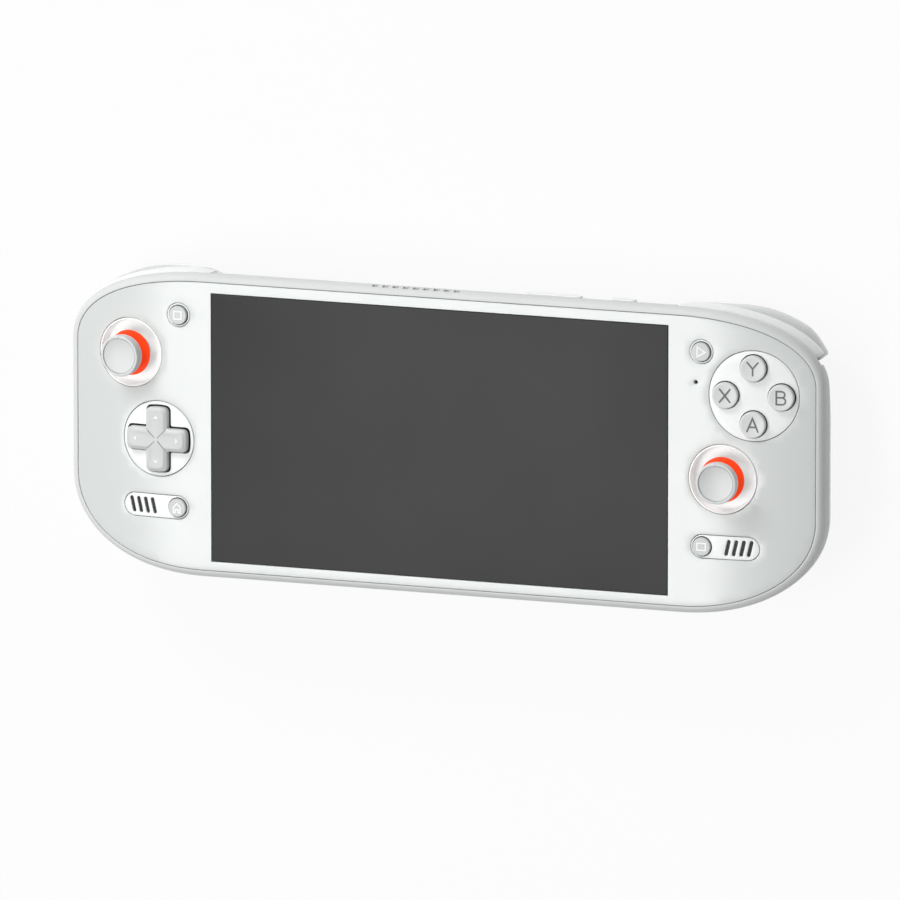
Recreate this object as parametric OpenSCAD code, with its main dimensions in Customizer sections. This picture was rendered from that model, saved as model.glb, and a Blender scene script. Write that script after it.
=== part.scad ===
// Handheld game console with a wide screen, two thumb sticks, a direction pad,
// face buttons, shoulder bumpers and analogue triggers.
// It lies on the backs of its grips: X to the right, Y to the top edge, Z out of the screen.
// Depths in the modules are measured from the flat front face, negative towards the back.

/* [Screen] */
// Width of the visible screen
screen_w = 132.8; // [120:0.1:136]
// Height of the visible screen
screen_h = 74.7; // [66:0.1:74.8]
// Thickness of the display module behind the glass
display_t = 1.95; // [1.2:0.05:2.2]
// How far the display module reaches past the visible screen on each side
display_border = 0.1; // [0.05:0.01:0.12]

/* [Front face] */
// Half of the face plate's width
face_half_w = 107.4; // [105:0.1:112]
// Height of the face plate's top edge above the screen's centre
face_top = 40.35; // [40:0.05:44]
// Depth of the face plate's bottom edge below the screen's centre
face_bottom = 40.05; // [40:0.05:44]
// Width of a top corner's curve
top_corner_w = 38.3; // [34:0.1:39.5]
// Height of a top corner's curve
top_corner_h = 18.9; // [16:0.1:24]
// Width of a bottom corner's curve
bottom_corner_w = 38.8; // [30:0.1:44]
// Height of a bottom corner's curve
bottom_corner_h = 25; // [18:0.1:30]
// Fullness of the corner curves, where 2 is an ellipse
corner_power = 2.15; // [2:0.05:2.6]
// Distance from the middle at which the wings start to curve back
wing_start = 74.5; // [70:0.5:80]
// Radius of the wings' curve
wing_radius = 125; // [110:1:200]
// Thickness of the face plate
plate_t = 1.6; // [1.2:0.1:1.8]

/* [Shell] */
// How far the rounded rim stands outside the face plate
rim_out = 2.2; // [1.6:0.1:3]
// Depth of the rim's widest line below the face
rim_drop = 2.8; // [2:0.1:3.2]
// Depth of the line where the frame and the back cover part
part_depth = 10.5; // [10.2:0.1:11.5]
// Thickness of the body at the middle
body_t = 16.5; // [16:0.1:20]
// How far the grips swell out behind the body
grip_depth = 10.5; // [8:0.1:14]
// Width of the rounding from the rim to the back
edge_w = 18; // [16:0.5:20]
// Thickness of the back cover's wall
cover_wall = 1.5; // [1.2:0.1:1.8]
// Distance from the middle at which a grip starts to swell
grip_start_x = 50; // [46:1:54]
// Distance from the middle at which a grip is full
grip_full_x = 76; // [70:1:80]
// Height at which a grip starts to swell, from the top
grip_start_y = 28; // [26:1:32]
// Height at which a grip is full
grip_full_y = 6; // [0:1:10]

/* [Thumb sticks] */
// Distance of the upper stick from the middle
upper_stick_x = 90.6; // [88:0.1:91.5]
// Height of the upper stick above the screen's centre
upper_stick_y = 19.3; // [18:0.1:20]
// Distance of the lower stick from the middle
lower_stick_x = 82.1; // [81:0.1:84]
// Depth of the lower stick below the screen's centre
lower_stick_y = 4.15; // [3.5:0.05:5]
// Radius of a stick's round well
well_r = 9.75; // [9.6:0.05:9.9]
// Radius of the coloured collar round a stick's neck
collar_r = 6.3; // [5.8:0.1:6.4]
// Radius of a stick's cap
cap_r = 5.75; // [5.2:0.05:6.2]
// Height of a cap's rim above the face
cap_top = 6.8; // [6:0.1:7.6]
// Depth of the stick's pivot below the face
stick_pivot = 7.4; // [7.2:0.1:7.8]
// Radius of a stick's shaft
shaft_r = 1.6; // [1.3:0.05:1.7]

/* [Direction pad and face buttons] */
// Radius of the direction pad's disc
dpad_disc_r = 10.65; // [10.5:0.05:10.8]
// Span of the direction pad from tip to tip
dpad_span = 18.3; // [18:0.1:18.6]
// Width of one arm of the direction pad
dpad_arm = 6.4; // [6.2:0.1:6.6]
// Height of the direction pad above the face
dpad_height = 1.9; // [1.2:0.1:2.4]
// Distance of the face buttons' disc from the middle
face_disc_x = 90.7; // [88:0.1:91]
// Height of the face buttons' disc above the screen's centre
face_disc_y = 19.3; // [18.5:0.1:20]
// Radius of the face buttons' disc
face_disc_r = 12.65; // [12.3:0.05:12.8]
// Distance of each face button from the disc's centre
face_button_ring = 7.75; // [7.4:0.05:8]
// Radius of a face button
face_button_r = 3.6; // [3.2:0.05:3.7]
// Height of a face button above the face
face_button_h = 1.4; // [1:0.1:2]
// Travel of a face button
face_button_travel = 0.6; // [0.4:0.05:0.7]

/* [Small buttons and speakers] */
// Distance of the two menu buttons from the middle
menu_x = 76.05; // [75:0.05:77]
// Height of the menu buttons above the screen's centre
menu_y = 30.85; // [30:0.05:31.5]
// Radius of a menu button
menu_button_r = 2.6; // [2.2:0.05:2.8]
// Radius of the fine ring round a menu button
menu_ring_r = 3.4; // [3.2:0.05:3.7]
// Distance of a pill insert's centre from the middle
pill_x = 82.85; // [82:0.05:84]
// Depth of a pill insert below the screen's centre
pill_y = 23.05; // [22:0.05:24]
// Length of a pill insert
pill_l = 19.6; // [19.2:0.1:20.4]
// Height of a pill insert
pill_h = 6.7; // [6.4:0.05:7.2]
// Distance of a pill's button from the middle
pill_button_x = 76.4; // [76:0.05:77]
// Radius of a pill's button
pill_button_r = 2.55; // [2.2:0.05:2.7]
// Distance of the first speaker slot from the middle
slot_x = 83.6; // [83:0.05:84]
// Spacing of the speaker slots
slot_pitch = 2.1; // [1.8:0.05:2.2]
// Length of a speaker slot
slot_l = 4.6; // [3.6:0.1:4.8]
// Width of a speaker slot
slot_w = 1.05; // [0.8:0.05:1.2]
// Lean of the speaker slots
slot_lean = 13; // [0:1:18]

/* [Shoulders] */
// Distance from the middle at which a bumper starts
bumper_start = 67.5; // [64:0.1:68]
// Angle on the corner's curve at which the bumper's recess ends
bumper_end = 16; // [14.5:0.5:18]
// How far a bumper stands outside the face plate
bumper_out = 2.95; // [2.4:0.05:3.4]
// Depth of a bumper, from front to back
bumper_depth = 5.25; // [4.6:0.05:5.6]
// How far a trigger stands outside the face plate at its outer end
trigger_out = 3.1; // [2.7:0.1:3.4]
// Depth of a trigger's tip below the front
trigger_tip = 23; // [21:0.1:23.5]
// Radius of a trigger's hinge pin
trigger_pin_r = 1; // [0.8:0.05:1.1]
// Radius of a bumper's hinge pin
bumper_pin_r = 0.7; // [0.6:0.05:0.75]

/* [Edges] */
// Distance of the volume rocker's centre from the middle
volume_x = 31.95; // [28:0.05:36]
// Length of the volume rocker
volume_l = 15.9; // [12:0.1:18]
// Distance of the power button's centre from the middle
power_x = 51.7; // [49:0.05:56]
// Length of the power button
power_l = 7.8; // [6:0.1:9]
// Width of the side buttons, from front to back
side_button_w = 2.4; // [2:0.1:2.8]
// Number of exhaust vents in the top edge
vent_count = 9; // [5:1:11]
// Spacing of the exhaust vents
vent_pitch = 2.97; // [2.6:0.01:3.2]
// Distance of the middle vent from the middle of the console
vent_x = -8.1; // [-12:0.1:0]
// Radius of the headphone jack's bore
jack_r = 1.8; // [1.25:0.05:1.85]
// Distance of the headphone jack from the middle
jack_x = 30; // [24:0.5:40]

/* [Cooling] */
// Radius of the fan rotor
fan_r = 16; // [13:0.5:16.5]
// Number of fan blades
fan_blades = 13; // [7:2:17]
// Number of intake slots in the back cover
intake_slots = 9; // [5:2:9]

/* [Hidden] */
$fn = 64;
// Clearances between pieces
seam = 0.15;
insert_gap = 0.2;
button_gap = 0.18;
seat_gap = 0.05;
pin_gap = 0.05;
flange_gap = 0.1;

// Levels behind the front face
display_z = plate_t + seat_gap;
chassis_z = display_z + display_t + seat_gap;
chassis_t = 0.95;
inner_z = chassis_z + chassis_t + seat_gap;
board_post = 1.3;
main_board_z = chassis_z + chassis_t + board_post;
main_board_t = 1.2;
control_board_z = 8.2;
control_board_t = 1;
membrane_t = 0.8;
dome_h = 0.5;
dome_top = control_board_z - membrane_t - dome_h;
press_gap = 1;
insert_flange_t = 0.8;
insert_flange_w = 1;
insert_t = plate_t + flange_gap + insert_flange_t;
front_z = body_t + grip_depth;

// Curves of the face and the outline
function clamp(v) = min(1, max(0, v));
function smooth(v) = clamp(v) * clamp(v) * (3 - 2 * clamp(v));
function lerp(a, b, f) = a + (b - a) * f;
function wing_run(x) = max(0, abs(x) - wing_start);
function face_z(x) = sqrt(wing_radius * wing_radius - pow(wing_run(x), 2)) - wing_radius;
function wing_tilt(x) = sign(x) * asin(wing_run(x) / wing_radius);

// A station on the outline is its place [x, y], its outward normal [x, y] and
// the recess there: 0 for none, 1 for the bumper's recess, 0.5 for its side wall
function corner(w, h, side, t, recess) = let (
    share = 2 / corner_power,
    n = [pow(cos(t), 2 - share) / w, side * pow(sin(t), 2 - share) / h],
    reach = side > 0 ? face_top : face_bottom,
    p = [face_half_w - w + w * pow(cos(t), share), side * (reach - h + h * pow(sin(t), share))]
) [p, n / norm(n), recess];
function top_corner(t, recess) = corner(top_corner_w, top_corner_h, 1, t, recess);
function bottom_corner(t) = corner(bottom_corner_w, bottom_corner_h, -1, t, 0);
function on_top(x, recess) = [[x, face_top], [0, 1], recess];

edge_steps = 5;
bottom_steps = 12;
side_steps = 3;
recess_steps = 10;
recess_ramp = 1.2;
recess_side = 3;
bottom_flat = face_half_w - bottom_corner_w;
side_low = bottom_corner_h - face_bottom;
side_high = face_top - top_corner_h;
right_stations = [
    for (i = [0:edge_steps - 1]) [[bottom_flat * i / edge_steps, -face_bottom], [0, -1], 0],
    for (i = [0:bottom_steps]) bottom_corner(90 * (1 - i / bottom_steps)),
    for (i = [1:side_steps - 1]) [[face_half_w, lerp(side_low, side_high, i / side_steps)], [1, 0], 0],
    for (i = [0:side_steps]) top_corner((bumper_end - 2 * recess_ramp - recess_side) * i / side_steps, 0),
    top_corner(bumper_end - recess_ramp - recess_side, 0.5),
    top_corner(bumper_end - recess_ramp, 0.5),
    for (i = [0:recess_steps]) top_corner(lerp(bumper_end, 90, i / recess_steps), 1),
    on_top(bumper_start, 1),
    on_top(bumper_start - recess_ramp / 3, 0.5),
    on_top(bumper_start - recess_ramp / 3 - recess_side / 2, 0.5),
    for (i = [0:edge_steps]) on_top((bumper_start - recess_ramp - recess_side / 2) * (1 - i / edge_steps), 0)
];
function mirrored(s) = [[-s[0].x, s[0].y], [-s[1].x, s[1].y], s[2]];
stations = [
    each right_stations,
    for (i = [len(right_stations) - 2:-1:1]) mirrored(right_stations[i])
];

// Rounded body: the rim's widest line, then an elliptic edge to the back
spine_half = 46;
spine_blend = 30;
flat_share = 0.16;
flat_bow = 0.1;
grip_flat = 1.04;
function swell(p) = smooth((abs(p.x) - grip_start_x) / (grip_full_x - grip_start_x))
    * smooth((grip_start_y - p.y) / (grip_start_y - grip_full_y));
function back_depth(p) = body_t + grip_depth * min(1, grip_flat * swell(p));
function crest(s) = s[0] + s[1] * rim_out;
function crest_z(s) = face_z(s[0].x) - rim_drop;
function spine(s) = [min(spine_half, max(-spine_half, crest(s).x)), 0];
function inward(s) = (spine(s) - crest(s)) / norm(spine(s) - crest(s));
function inset(s, e) = crest(s) + inward(s) * e;
function edge_back(s) = -back_depth(inset(s, edge_w));
function edge_z(s, e) = let (q = 1 - clamp(e / edge_w))
    crest_z(s) - (crest_z(s) - edge_back(s)) * sqrt(1 - q * q);
function edge_at(s, z) = let (h = (crest_z(s) - z) / (crest_z(s) - edge_back(s)))
    edge_w * (1 - sqrt(1 - h * h));
function out(s, d, z) = let (p = s[0] + s[1] * d) [p.x, p.y, z];
function level(s, e, z) = let (p = inset(s, e)) [p.x, p.y, z];

// Solid through closed loops with equal numbers of points
module skin(loops, ring = false) {
    n = len(loops);
    m = len(loops[0]);
    last = ring ? n - 1 : n - 2;
    sides = [for (i = [0:last], j = [0:m - 1]) let (
        a = i * m + j,
        b = i * m + (j + 1) % m,
        c = (i + 1) % n * m + (j + 1) % m,
        d = (i + 1) % n * m + j
    ) each [[c, b, a], [d, c, a]]];
    caps = ring ? [] : [[for (j = [0:m - 1]) j], [for (j = [m - 1:-1:0]) (n - 1) * m + j]];
    polyhedron([for (l = loops) each l], concat(sides, caps));
}

// Places things in the console's frame, and on the curved face
bumper_steps = 11;
bumper_first = bumper_end + 5;
bumper_inner_gap = 0.5;
function shoulder_stations(first, start) = [
    for (i = [0:bumper_steps]) top_corner(lerp(first, 90, i / bumper_steps), 1),
    on_top(start, 1)
];
function bumper_reach(x) = lerp(rim_out, bumper_out, smooth((x - bumper_start) / 8));
bumper_stations = shoulder_stations(bumper_first, bumper_start + bumper_inner_gap);
top_reach = max([for (s = bumper_stations) s[0].y + s[1].y * bumper_reach(s[0].x)]);
centre_y = (face_bottom + rim_out - top_reach) / 2;
module placed() {
    translate([0, centre_y, front_z]) children();
}
module on_face(x, y) {
    translate([x, y, face_z(x)]) rotate([0, wing_tilt(x), 0]) children();
}
module both_sides() {
    children();
    mirror([1, 0, 0]) children();
}

// Plate of even thickness that follows the face
wing_steps = 12;
face_reach = face_half_w + 6;
face_xs = [
    for (i = [0:wing_steps]) lerp(-face_reach, -wing_start, i / wing_steps),
    for (i = [0:wing_steps]) lerp(wing_start, face_reach, i / wing_steps)
];
module face_band(depth, t) {
    rows = len(face_xs) - 1;
    rotate([90, 0, 0]) linear_extrude(3 * face_half_w, center = true) polygon([
        for (x = face_xs) [x, face_z(x) - depth],
        for (i = [rows:-1:0]) [face_xs[i], face_z(face_xs[i]) - depth - t]
    ]);
}
module rounded_rect(w, h, r) {
    square([w - 2 * r, h], center = true);
    square([w, h - 2 * r], center = true);
    for (x = [-1, 1], y = [-1, 1]) translate([x * (w / 2 - r), y * (h / 2 - r)]) circle(r);
}
module pill_outline(l, h) {
    square([l - h, h], center = true);
    for (x = [-1, 1]) translate([x * (l - h) / 2, 0]) circle(h / 2);
}

// Shoulder values that the frame, the pins and the triggers share
bracket_t = 2;
trigger_lug_r = 1.8;
trigger_lug_w = 2.4;
lug_side_gap = 0.35;
trigger_wall = 2;
arm_angles = [75, 62];
trigger_hinge = [[74, 38.8], [104, 27.2]];
trigger_hinge_z = 13;
// A trigger sinks between its inner end and its full height, and its inside clears the hinge bracket
trigger_in = 1.2;
trigger_clear = 2.4;
trigger_flush_x = 72;
trigger_full_x = 92;
function trigger_reach(x) = lerp(trigger_in, trigger_out,
    smooth((x - trigger_flush_x) / (trigger_full_x - trigger_flush_x)));
function arm_root(i) = let (s = top_corner(arm_angles[i], 1))
    s[0] + s[1] * (trigger_reach(s[0].x) - 0.6 * trigger_wall);
hinge_run = (trigger_hinge[1] - trigger_hinge[0]) / norm(trigger_hinge[1] - trigger_hinge[0]);
function lug_at(i) = (arm_root(i) - trigger_hinge[0]) * hinge_run;
function arm_length(i) = (arm_root(i) - trigger_hinge[0]) * [-hinge_run.y, hinge_run.x];
bumper_pin_x = bumper_start + 3.1;
bumper_pin_seat = 1.2;
module bumper_axis() {
    translate([bumper_pin_x, face_top + rim_out / 2, 0]) children();
}
fan_place = [-8, 4];

// Casing
bore_reach = 14;
post_r = 1.6;
control_posts = [[70.5, 8], [70.5, -14], [101.5, -8]];
mic_hole = [74.45, 22.3];
mic_r = 0.55;
ring_line = 0.14;
ring_depth = 0.3;
module face_hole(x, y, r) {
    on_face(x, y) cylinder(h = bore_reach, r = r, center = true);
}
module pill_hole(side, grow) {
    on_face(side * pill_x, -pill_y) linear_extrude(bore_reach, center = true)
        pill_outline(pill_l + 2 * grow, pill_h + 2 * grow);
}
module face_plate() color("whitesmoke") placed() {
    difference() {
        intersection() {
            face_band(0, plate_t);
            linear_extrude(bore_reach, center = true) polygon([for (s = stations) s[0]]);
        }
        cube([screen_w + 2 * seam, screen_h + 2 * seam, bore_reach], center = true);
        face_hole(-upper_stick_x, upper_stick_y, well_r);
        face_hole(lower_stick_x, -lower_stick_y, well_r);
        face_hole(-lower_stick_x, -lower_stick_y, dpad_disc_r);
        face_hole(face_disc_x, face_disc_y, face_disc_r);
        for (side = [-1, 1]) {
            face_hole(side * menu_x, menu_y, menu_button_r + button_gap);
            pill_hole(side, 0);
            on_face(side * menu_x, menu_y) difference() {
                cylinder(h = 2 * ring_depth, r = menu_ring_r, center = true);
                cylinder(h = bore_reach, r = menu_ring_r - ring_line, center = true);
            }
        }
        translate([mic_hole.x, mic_hole.y, 0]) cylinder(h = bore_reach, r = mic_r, center = true);
    }
    for (side = [-1, 1], p = control_posts) {
        top = face_z(p.x) - plate_t;
        translate([side * p.x, p.y, -control_board_z])
            cylinder(h = control_board_z + top + seat_gap, r = post_r);
    }
}
module display_glass() color("dimgray") placed() {
    translate([0, 0, -plate_t / 2]) cube([screen_w, screen_h, plate_t], center = true);
}
module display_module() color("black") placed() {
    translate([0, 0, -display_z - display_t / 2])
        cube([screen_w + 2 * display_border, screen_h + 2 * display_border, display_t], center = true);
}

// Frame: rounded rim, walls, a seat for the face plate and a shelf over each trigger's well
frame_inner = 2.4;
rim_strip = 3.4;
recess_wall = 1.9;
recess_wall_t = 0.95;
shelf_inner = 8.6;
shelf_t = 0.9;
rim_steps = 4;
wall_steps = 3;
function frame_section(s) = let (
    z = face_z(s[0].x),
    zc = crest_z(s),
    inner = s[2] ? recess_wall + recess_wall_t : frame_inner,
    shelf = s[2] ? shelf_inner : frame_inner,
    seat = function (d) out(s, d, face_z(s[0].x + s[1].x * d) - plate_t - seat_gap)
) [
    for (i = [0:rim_steps]) let (a = 90 * i / rim_steps)
        out(s, lerp(seam, rim_out, sin(a)), z - rim_drop * (1 - cos(a))),
    each (s[2] == 1
        ? [out(s, rim_out - seam, z - rim_strip),
           out(s, -recess_wall, z - rim_strip),
           out(s, -recess_wall, -part_depth)]
        : [for (i = [1:wall_steps]) let (w = lerp(zc, -part_depth, i / wall_steps))
            level(s, edge_at(s, w), w)]),
    out(s, -shelf, -part_depth),
    out(s, -shelf, -part_depth + shelf_t / 2),
    out(s, -inner, -part_depth + shelf_t),
    seat(-inner),
    seat(seam)
];
side_button_z = 5.2;
vent_z = 3.6;
pinhole_x = (volume_x + volume_l / 2 + power_x - power_l / 2) / 2;
pinhole_r = 0.45;
vent_w = 1.9;
vent_d = 3;
port_z = 6.3;
usb_size = [8.94, 3.26];
card_x = -30;
card_size = [13.4, 1.6];
port_gap = 0.15;
jack_barrel_r = 2.45;
wall_reach = 12;
module trigger_axis() {
    run = trigger_hinge[1] - trigger_hinge[0];
    translate([trigger_hinge[0].x, trigger_hinge[0].y, -trigger_hinge_z])
        rotate([0, 0, atan2(run.y, run.x)]) children();
}
module along_hinge(from, length, r) {
    translate([from, 0, 0]) rotate([0, 90, 0]) cylinder(h = length, r = r);
}
module side_slot(x, l, grow) {
    translate([x, face_top, -side_button_z]) rotate([90, 0, 0])
        linear_extrude(wall_reach, center = true) pill_outline(l + 2 * grow, side_button_w + 2 * grow);
}
module usb_shape(grow, from, length) {
    translate([0, from, -port_z]) rotate([-90, 0, 0])
        linear_extrude(length) pill_outline(usb_size.x + 2 * grow, usb_size.y + 2 * grow);
}
module hinge_bracket(from) {
    lug = trigger_lug_r - seam;
    difference() {
        translate([from, -lug, -lug])
            cube([bracket_t, 2 * lug, trigger_hinge_z - part_depth + lug + shelf_t / 2]);
        along_hinge(from - seam, bracket_t + 2 * seam, trigger_pin_r + pin_gap);
    }
}
module mid_frame() color("white") placed() {
    difference() {
        skin([for (s = stations) frame_section(s)], ring = true);
        for (i = [0:vent_count - 1])
            translate([vent_x + (i - (vent_count - 1) / 2) * vent_pitch, face_top, -vent_z])
                cube([vent_w, wall_reach, vent_d], center = true);
        side_slot(volume_x, volume_l, button_gap + seam);
        side_slot(power_x, power_l, button_gap);
        translate([pinhole_x, face_top, -side_button_z]) rotate([90, 0, 0])
            cylinder(h = wall_reach, r = pinhole_r, center = true);
        usb_shape(port_gap, -face_bottom - wall_reach / 2, wall_reach);
        translate([jack_x, -face_bottom, -port_z]) rotate([90, 0, 0])
            cylinder(h = wall_reach, r = jack_barrel_r + port_gap, center = true);
        translate([card_x, -face_bottom, -port_z])
            cube([card_size.x + 2 * port_gap, wall_reach, card_size.y + 2 * port_gap], center = true);
        both_sides() bumper_axis() translate([0, 0, -rim_strip])
            cylinder(h = bumper_pin_seat, r = bumper_pin_r + pin_gap);
    }
    both_sides() trigger_axis() {
        hinge_bracket(lug_at(0) - trigger_lug_w / 2 - lug_side_gap - bracket_t);
        hinge_bracket(lug_at(1) + trigger_lug_w / 2 + lug_side_gap);
    }
}

// Back cover: elliptic edges, palm swells, wells for the triggers, intake slots and screw seats
well_inset = 10.6;
edge_shares = [0, 0.06, 0.16, 0.32, 0.58, 1];
middle_shares = [0.24, 0.48, 0.72, 0.92];
inner_edge_shares = [0, 0.16, 0.5, 1];
inner_middle_shares = [0.36, 0.72, 0.92];
cover_top = part_depth + seam;
intake_w = 1.6;
intake_pitch = 3.4;
screw_places = [[59, 24.5], [48.5, -24.4]];
screw_head_r = 1.9;
screw_head_t = 1.2;
screw_r = 1;
screw_boss_r = 3.2;
screw_boss_end = body_t - 2.5;
function cover_start(s) = s[2] == 1 ? well_inset : edge_at(s, -cover_top);
function cover_e(s, w) = lerp(cover_start(s), edge_w, w);
function cover_z(s, w) = s[2] == 1
    ? lerp(-cover_top, edge_back(s), sqrt(1 - pow(1 - w, 4)))
    : edge_z(s, cover_e(s, w));
function full(s) = s[2] > 0 ? [s[0], s[1], 1] : s;
function cover_inner(s, w) = level(s, cover_e(full(s), w) + cover_wall * (1 - w),
    w == 0 ? -cover_top : min(-cover_top, cover_z(full(s), w) + cover_wall * clamp(0.55 + w)));
function cover_middle(s, g, lift) = let (
    from = inset(s, edge_w),
    bow = flat_share * (1 + flat_bow * pow(crest(s).x / spine_half, 2)),
    share = g * lerp(bow, 1, smooth((abs(crest(s).x) - spine_half) / spine_blend)),
    p = from + (spine(s) - from) * share
) [p.x, p.y, lift - back_depth(p)];
outer_loops = [
    for (i = [len(middle_shares) - 1:-1:0]) [for (s = stations) cover_middle(s, middle_shares[i], 0)],
    for (i = [len(edge_shares) - 1:-1:0]) let (w = edge_shares[i])
        [for (s = stations) level(s, cover_e(s, w), cover_z(s, w))]
];
inner_loops = [
    for (w = inner_edge_shares) [for (s = stations) cover_inner(s, w)],
    for (g = inner_middle_shares) [for (s = stations) cover_middle(s, g, cover_wall)]
];
module screw_spots() {
    for (p = screw_places, x = [-1, 1]) translate([x * p.x, p.y, 0]) children();
}
module back_cover() color("white") placed() {
    difference() {
        union() {
            skin(concat(outer_loops, inner_loops));
            screw_spots() translate([0, 0, -body_t + cover_wall / 2])
                cylinder(h = body_t - cover_wall / 2 - screw_boss_end, r = screw_boss_r);
        }
        for (i = [0:intake_slots - 1]) {
            x = fan_place.x + (i - (intake_slots - 1) / 2) * intake_pitch;
            run = 2 * sqrt(fan_r * fan_r - pow(x - fan_place.x, 2));
            translate([x, fan_place.y, -body_t]) linear_extrude(bore_reach, center = true)
                rotate(90) pill_outline(run, intake_w);
        }
        screw_spots() translate([0, 0, -body_t - bore_reach]) {
            cylinder(h = 2 * bore_reach, r = screw_r + flange_gap);
            cylinder(h = bore_reach + seam + screw_head_t + flange_gap, r = screw_head_r + flange_gap);
        }
    }
}

// Chassis plate with posts for the main board and the cover's screws
chassis_size = [131, 62];
chassis_y = 5;
board_posts = [[-54, 20], [-54, -16], [-34, 30], [-34, -16]];
cover_post_r = 2.3;
cover_post_foot = 1;
screw_reach = 6;
cover_post_end = screw_boss_end - flange_gap;
module chassis_plate() color("silver") placed() difference() {
    union() {
        translate([0, chassis_y, -chassis_z - chassis_t / 2])
            cube([chassis_size.x, chassis_size.y, chassis_t], center = true);
        for (p = board_posts) translate([p.x, p.y, -main_board_z])
            cylinder(h = board_post + chassis_t / 2, r = post_r);
        screw_spots() translate([0, 0, -cover_post_end])
            cylinder(h = cover_post_end - chassis_z, r = cover_post_r);
        screw_spots() translate([0, 0, -chassis_z - chassis_t])
            cylinder(h = chassis_t, r = cover_post_r + cover_post_foot);
    }
    screw_spots() translate([0, 0, -cover_post_end - seam])
        cylinder(h = screw_reach, r = screw_r + pin_gap);
}
module back_screws() color("dimgray") placed() screw_spots() {
    translate([0, 0, -body_t + seam]) cylinder(h = screw_head_t, r = screw_head_r);
    translate([0, 0, -body_t + seam]) cylinder(h = body_t - cover_post_end + screw_reach / 2, r = screw_r);
}

// Thumb sticks: a well in the face, a can below it, a yoke and a hub as gimbal, then the shaft
stick_places = [[-upper_stick_x, upper_stick_y], [lower_stick_x, -lower_stick_y]];
well_lip = 0.42;
well_depth = 3.4;
well_floor = 0.8;
well_fillet = 0.9;
well_hole_r = 4.3;
can_r = 7.7;
can_wall = 1;
can_depth = 5.2;
can_flange = 1.7;
yoke_r = 6;
yoke_inner = 4.3;
yoke_t = 2.2;
yoke_pin_r = 0.9;
hub_r = 3.4;
hub_t = 2.4;
hub_pin_r = 0.8;
boot_r = 3.6;
boot_low = 1.75;
neck_r = 2.4;
collar_low = 0.1;
collar_t = 0.8;
shaft_tail = 2.6;
shaft_in_cap = 2.4;
module on_stick(i) {
    on_face(stick_places[i].x, stick_places[i].y) children();
}
module across(axis, from, length, r) {
    turn = axis == "x" ? [0, 90, 0] : [-90, 0, 0];
    rotate(turn) translate([0, 0, from]) cylinder(h = length, r = r);
}
module face_insert(i_x, i_y, r) {
    intersection() {
        face_band(0, insert_t);
        on_face(i_x, i_y) cylinder(h = bore_reach, r = r - insert_gap, center = true);
    }
    intersection() {
        face_band(plate_t + flange_gap, insert_flange_t);
        on_face(i_x, i_y) cylinder(h = bore_reach, r = r + insert_flange_w, center = true);
    }
}
module stick_socket(i) color("white") placed() difference() {
    union() {
        face_insert(stick_places[i].x, stick_places[i].y, well_r);
        on_stick(i) translate([0, 0, -well_depth - well_floor])
            cylinder(h = well_depth + well_floor - plate_t, r = well_r - insert_gap);
    }
    on_stick(i) {
        r = well_r - insert_gap - well_lip;
        translate([0, 0, -well_depth + well_fillet]) cylinder(h = bore_reach, r = r);
        translate([0, 0, -well_depth]) cylinder(h = bore_reach, r = r - well_fillet);
        translate([0, 0, -well_depth + well_fillet]) rotate_extrude()
            translate([r - well_fillet, 0]) circle(well_fillet);
        cylinder(h = bore_reach, r = well_hole_r, center = true);
    }
}
can_top = well_depth + well_floor + seat_gap;
module stick_base(i) color("dimgray") placed() on_stick(i) difference() {
    union() {
        translate([0, 0, -stick_pivot - can_depth])
            cylinder(h = stick_pivot + can_depth - can_top, r = can_r);
        translate([0, 0, -can_top - shelf_t]) cylinder(h = shelf_t, r = can_r + can_flange);
    }
    translate([0, 0, -stick_pivot - can_depth + can_wall])
        cylinder(h = bore_reach, r = can_r - can_wall);
    translate([0, 0, -stick_pivot]) across("x", -can_r - seam, 2 * can_r + 2 * seam, yoke_pin_r + pin_gap);
}
module stick_yoke(i) color("gray") placed() on_stick(i) translate([0, 0, -stick_pivot]) {
    difference() {
        cylinder(h = yoke_t, r = yoke_r, center = true);
        cylinder(h = bore_reach, r = yoke_inner, center = true);
        across("y", -yoke_r - seam, 2 * yoke_r + 2 * seam, hub_pin_r + pin_gap);
    }
    for (side = [0, 180]) rotate([0, 0, side])
        across("x", yoke_r - 3 * seam, can_r - yoke_r + seam, yoke_pin_r);
}
module stick_hub(i) color("lightgray") placed() on_stick(i) translate([0, 0, -stick_pivot]) {
    difference() {
        cylinder(h = hub_t, r = hub_r, center = true);
        cylinder(h = bore_reach, r = shaft_r + pin_gap, center = true);
    }
    for (side = [0, 180]) rotate([0, 0, side])
        across("y", hub_r - 2 * seam, yoke_r - hub_r, hub_pin_r);
}
module stick_shaft(i) color("gainsboro") placed() on_stick(i) {
    translate([0, 0, -stick_pivot]) intersection() {
        sphere(boot_r);
        translate([0, 0, boot_low]) cylinder(h = boot_r, r = boot_r);
    }
    translate([0, 0, boot_r - stick_pivot - 2 * seam])
        cylinder(h = stick_pivot - boot_r + 2 * seam - collar_low - seat_gap, r = neck_r);
    translate([0, 0, -stick_pivot - shaft_tail])
        cylinder(h = stick_pivot + shaft_tail + collar_t + shaft_in_cap, r = shaft_r);
}
module stick_collar(i) color("orangered") placed() on_stick(i) rotate_extrude() polygon([
    [shaft_r + pin_gap, -collar_low],
    [collar_r - 0.35, -collar_low],
    [collar_r, collar_low],
    [collar_r, 3 * collar_low],
    [collar_r - 0.2, 5 * collar_low],
    [collar_r - 2, collar_t - seat_gap],
    [shaft_r + pin_gap, collar_t - seat_gap]
]);
cap_dish = 0.6;
cap_stem = 3.4;
cap_low = 2.4;
cap_rim = 0.75;
cap_step = 0.25;
dish_r = cap_r - cap_rim;
dish_ball = (dish_r * dish_r + cap_dish * cap_dish) / (2 * cap_dish);
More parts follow.
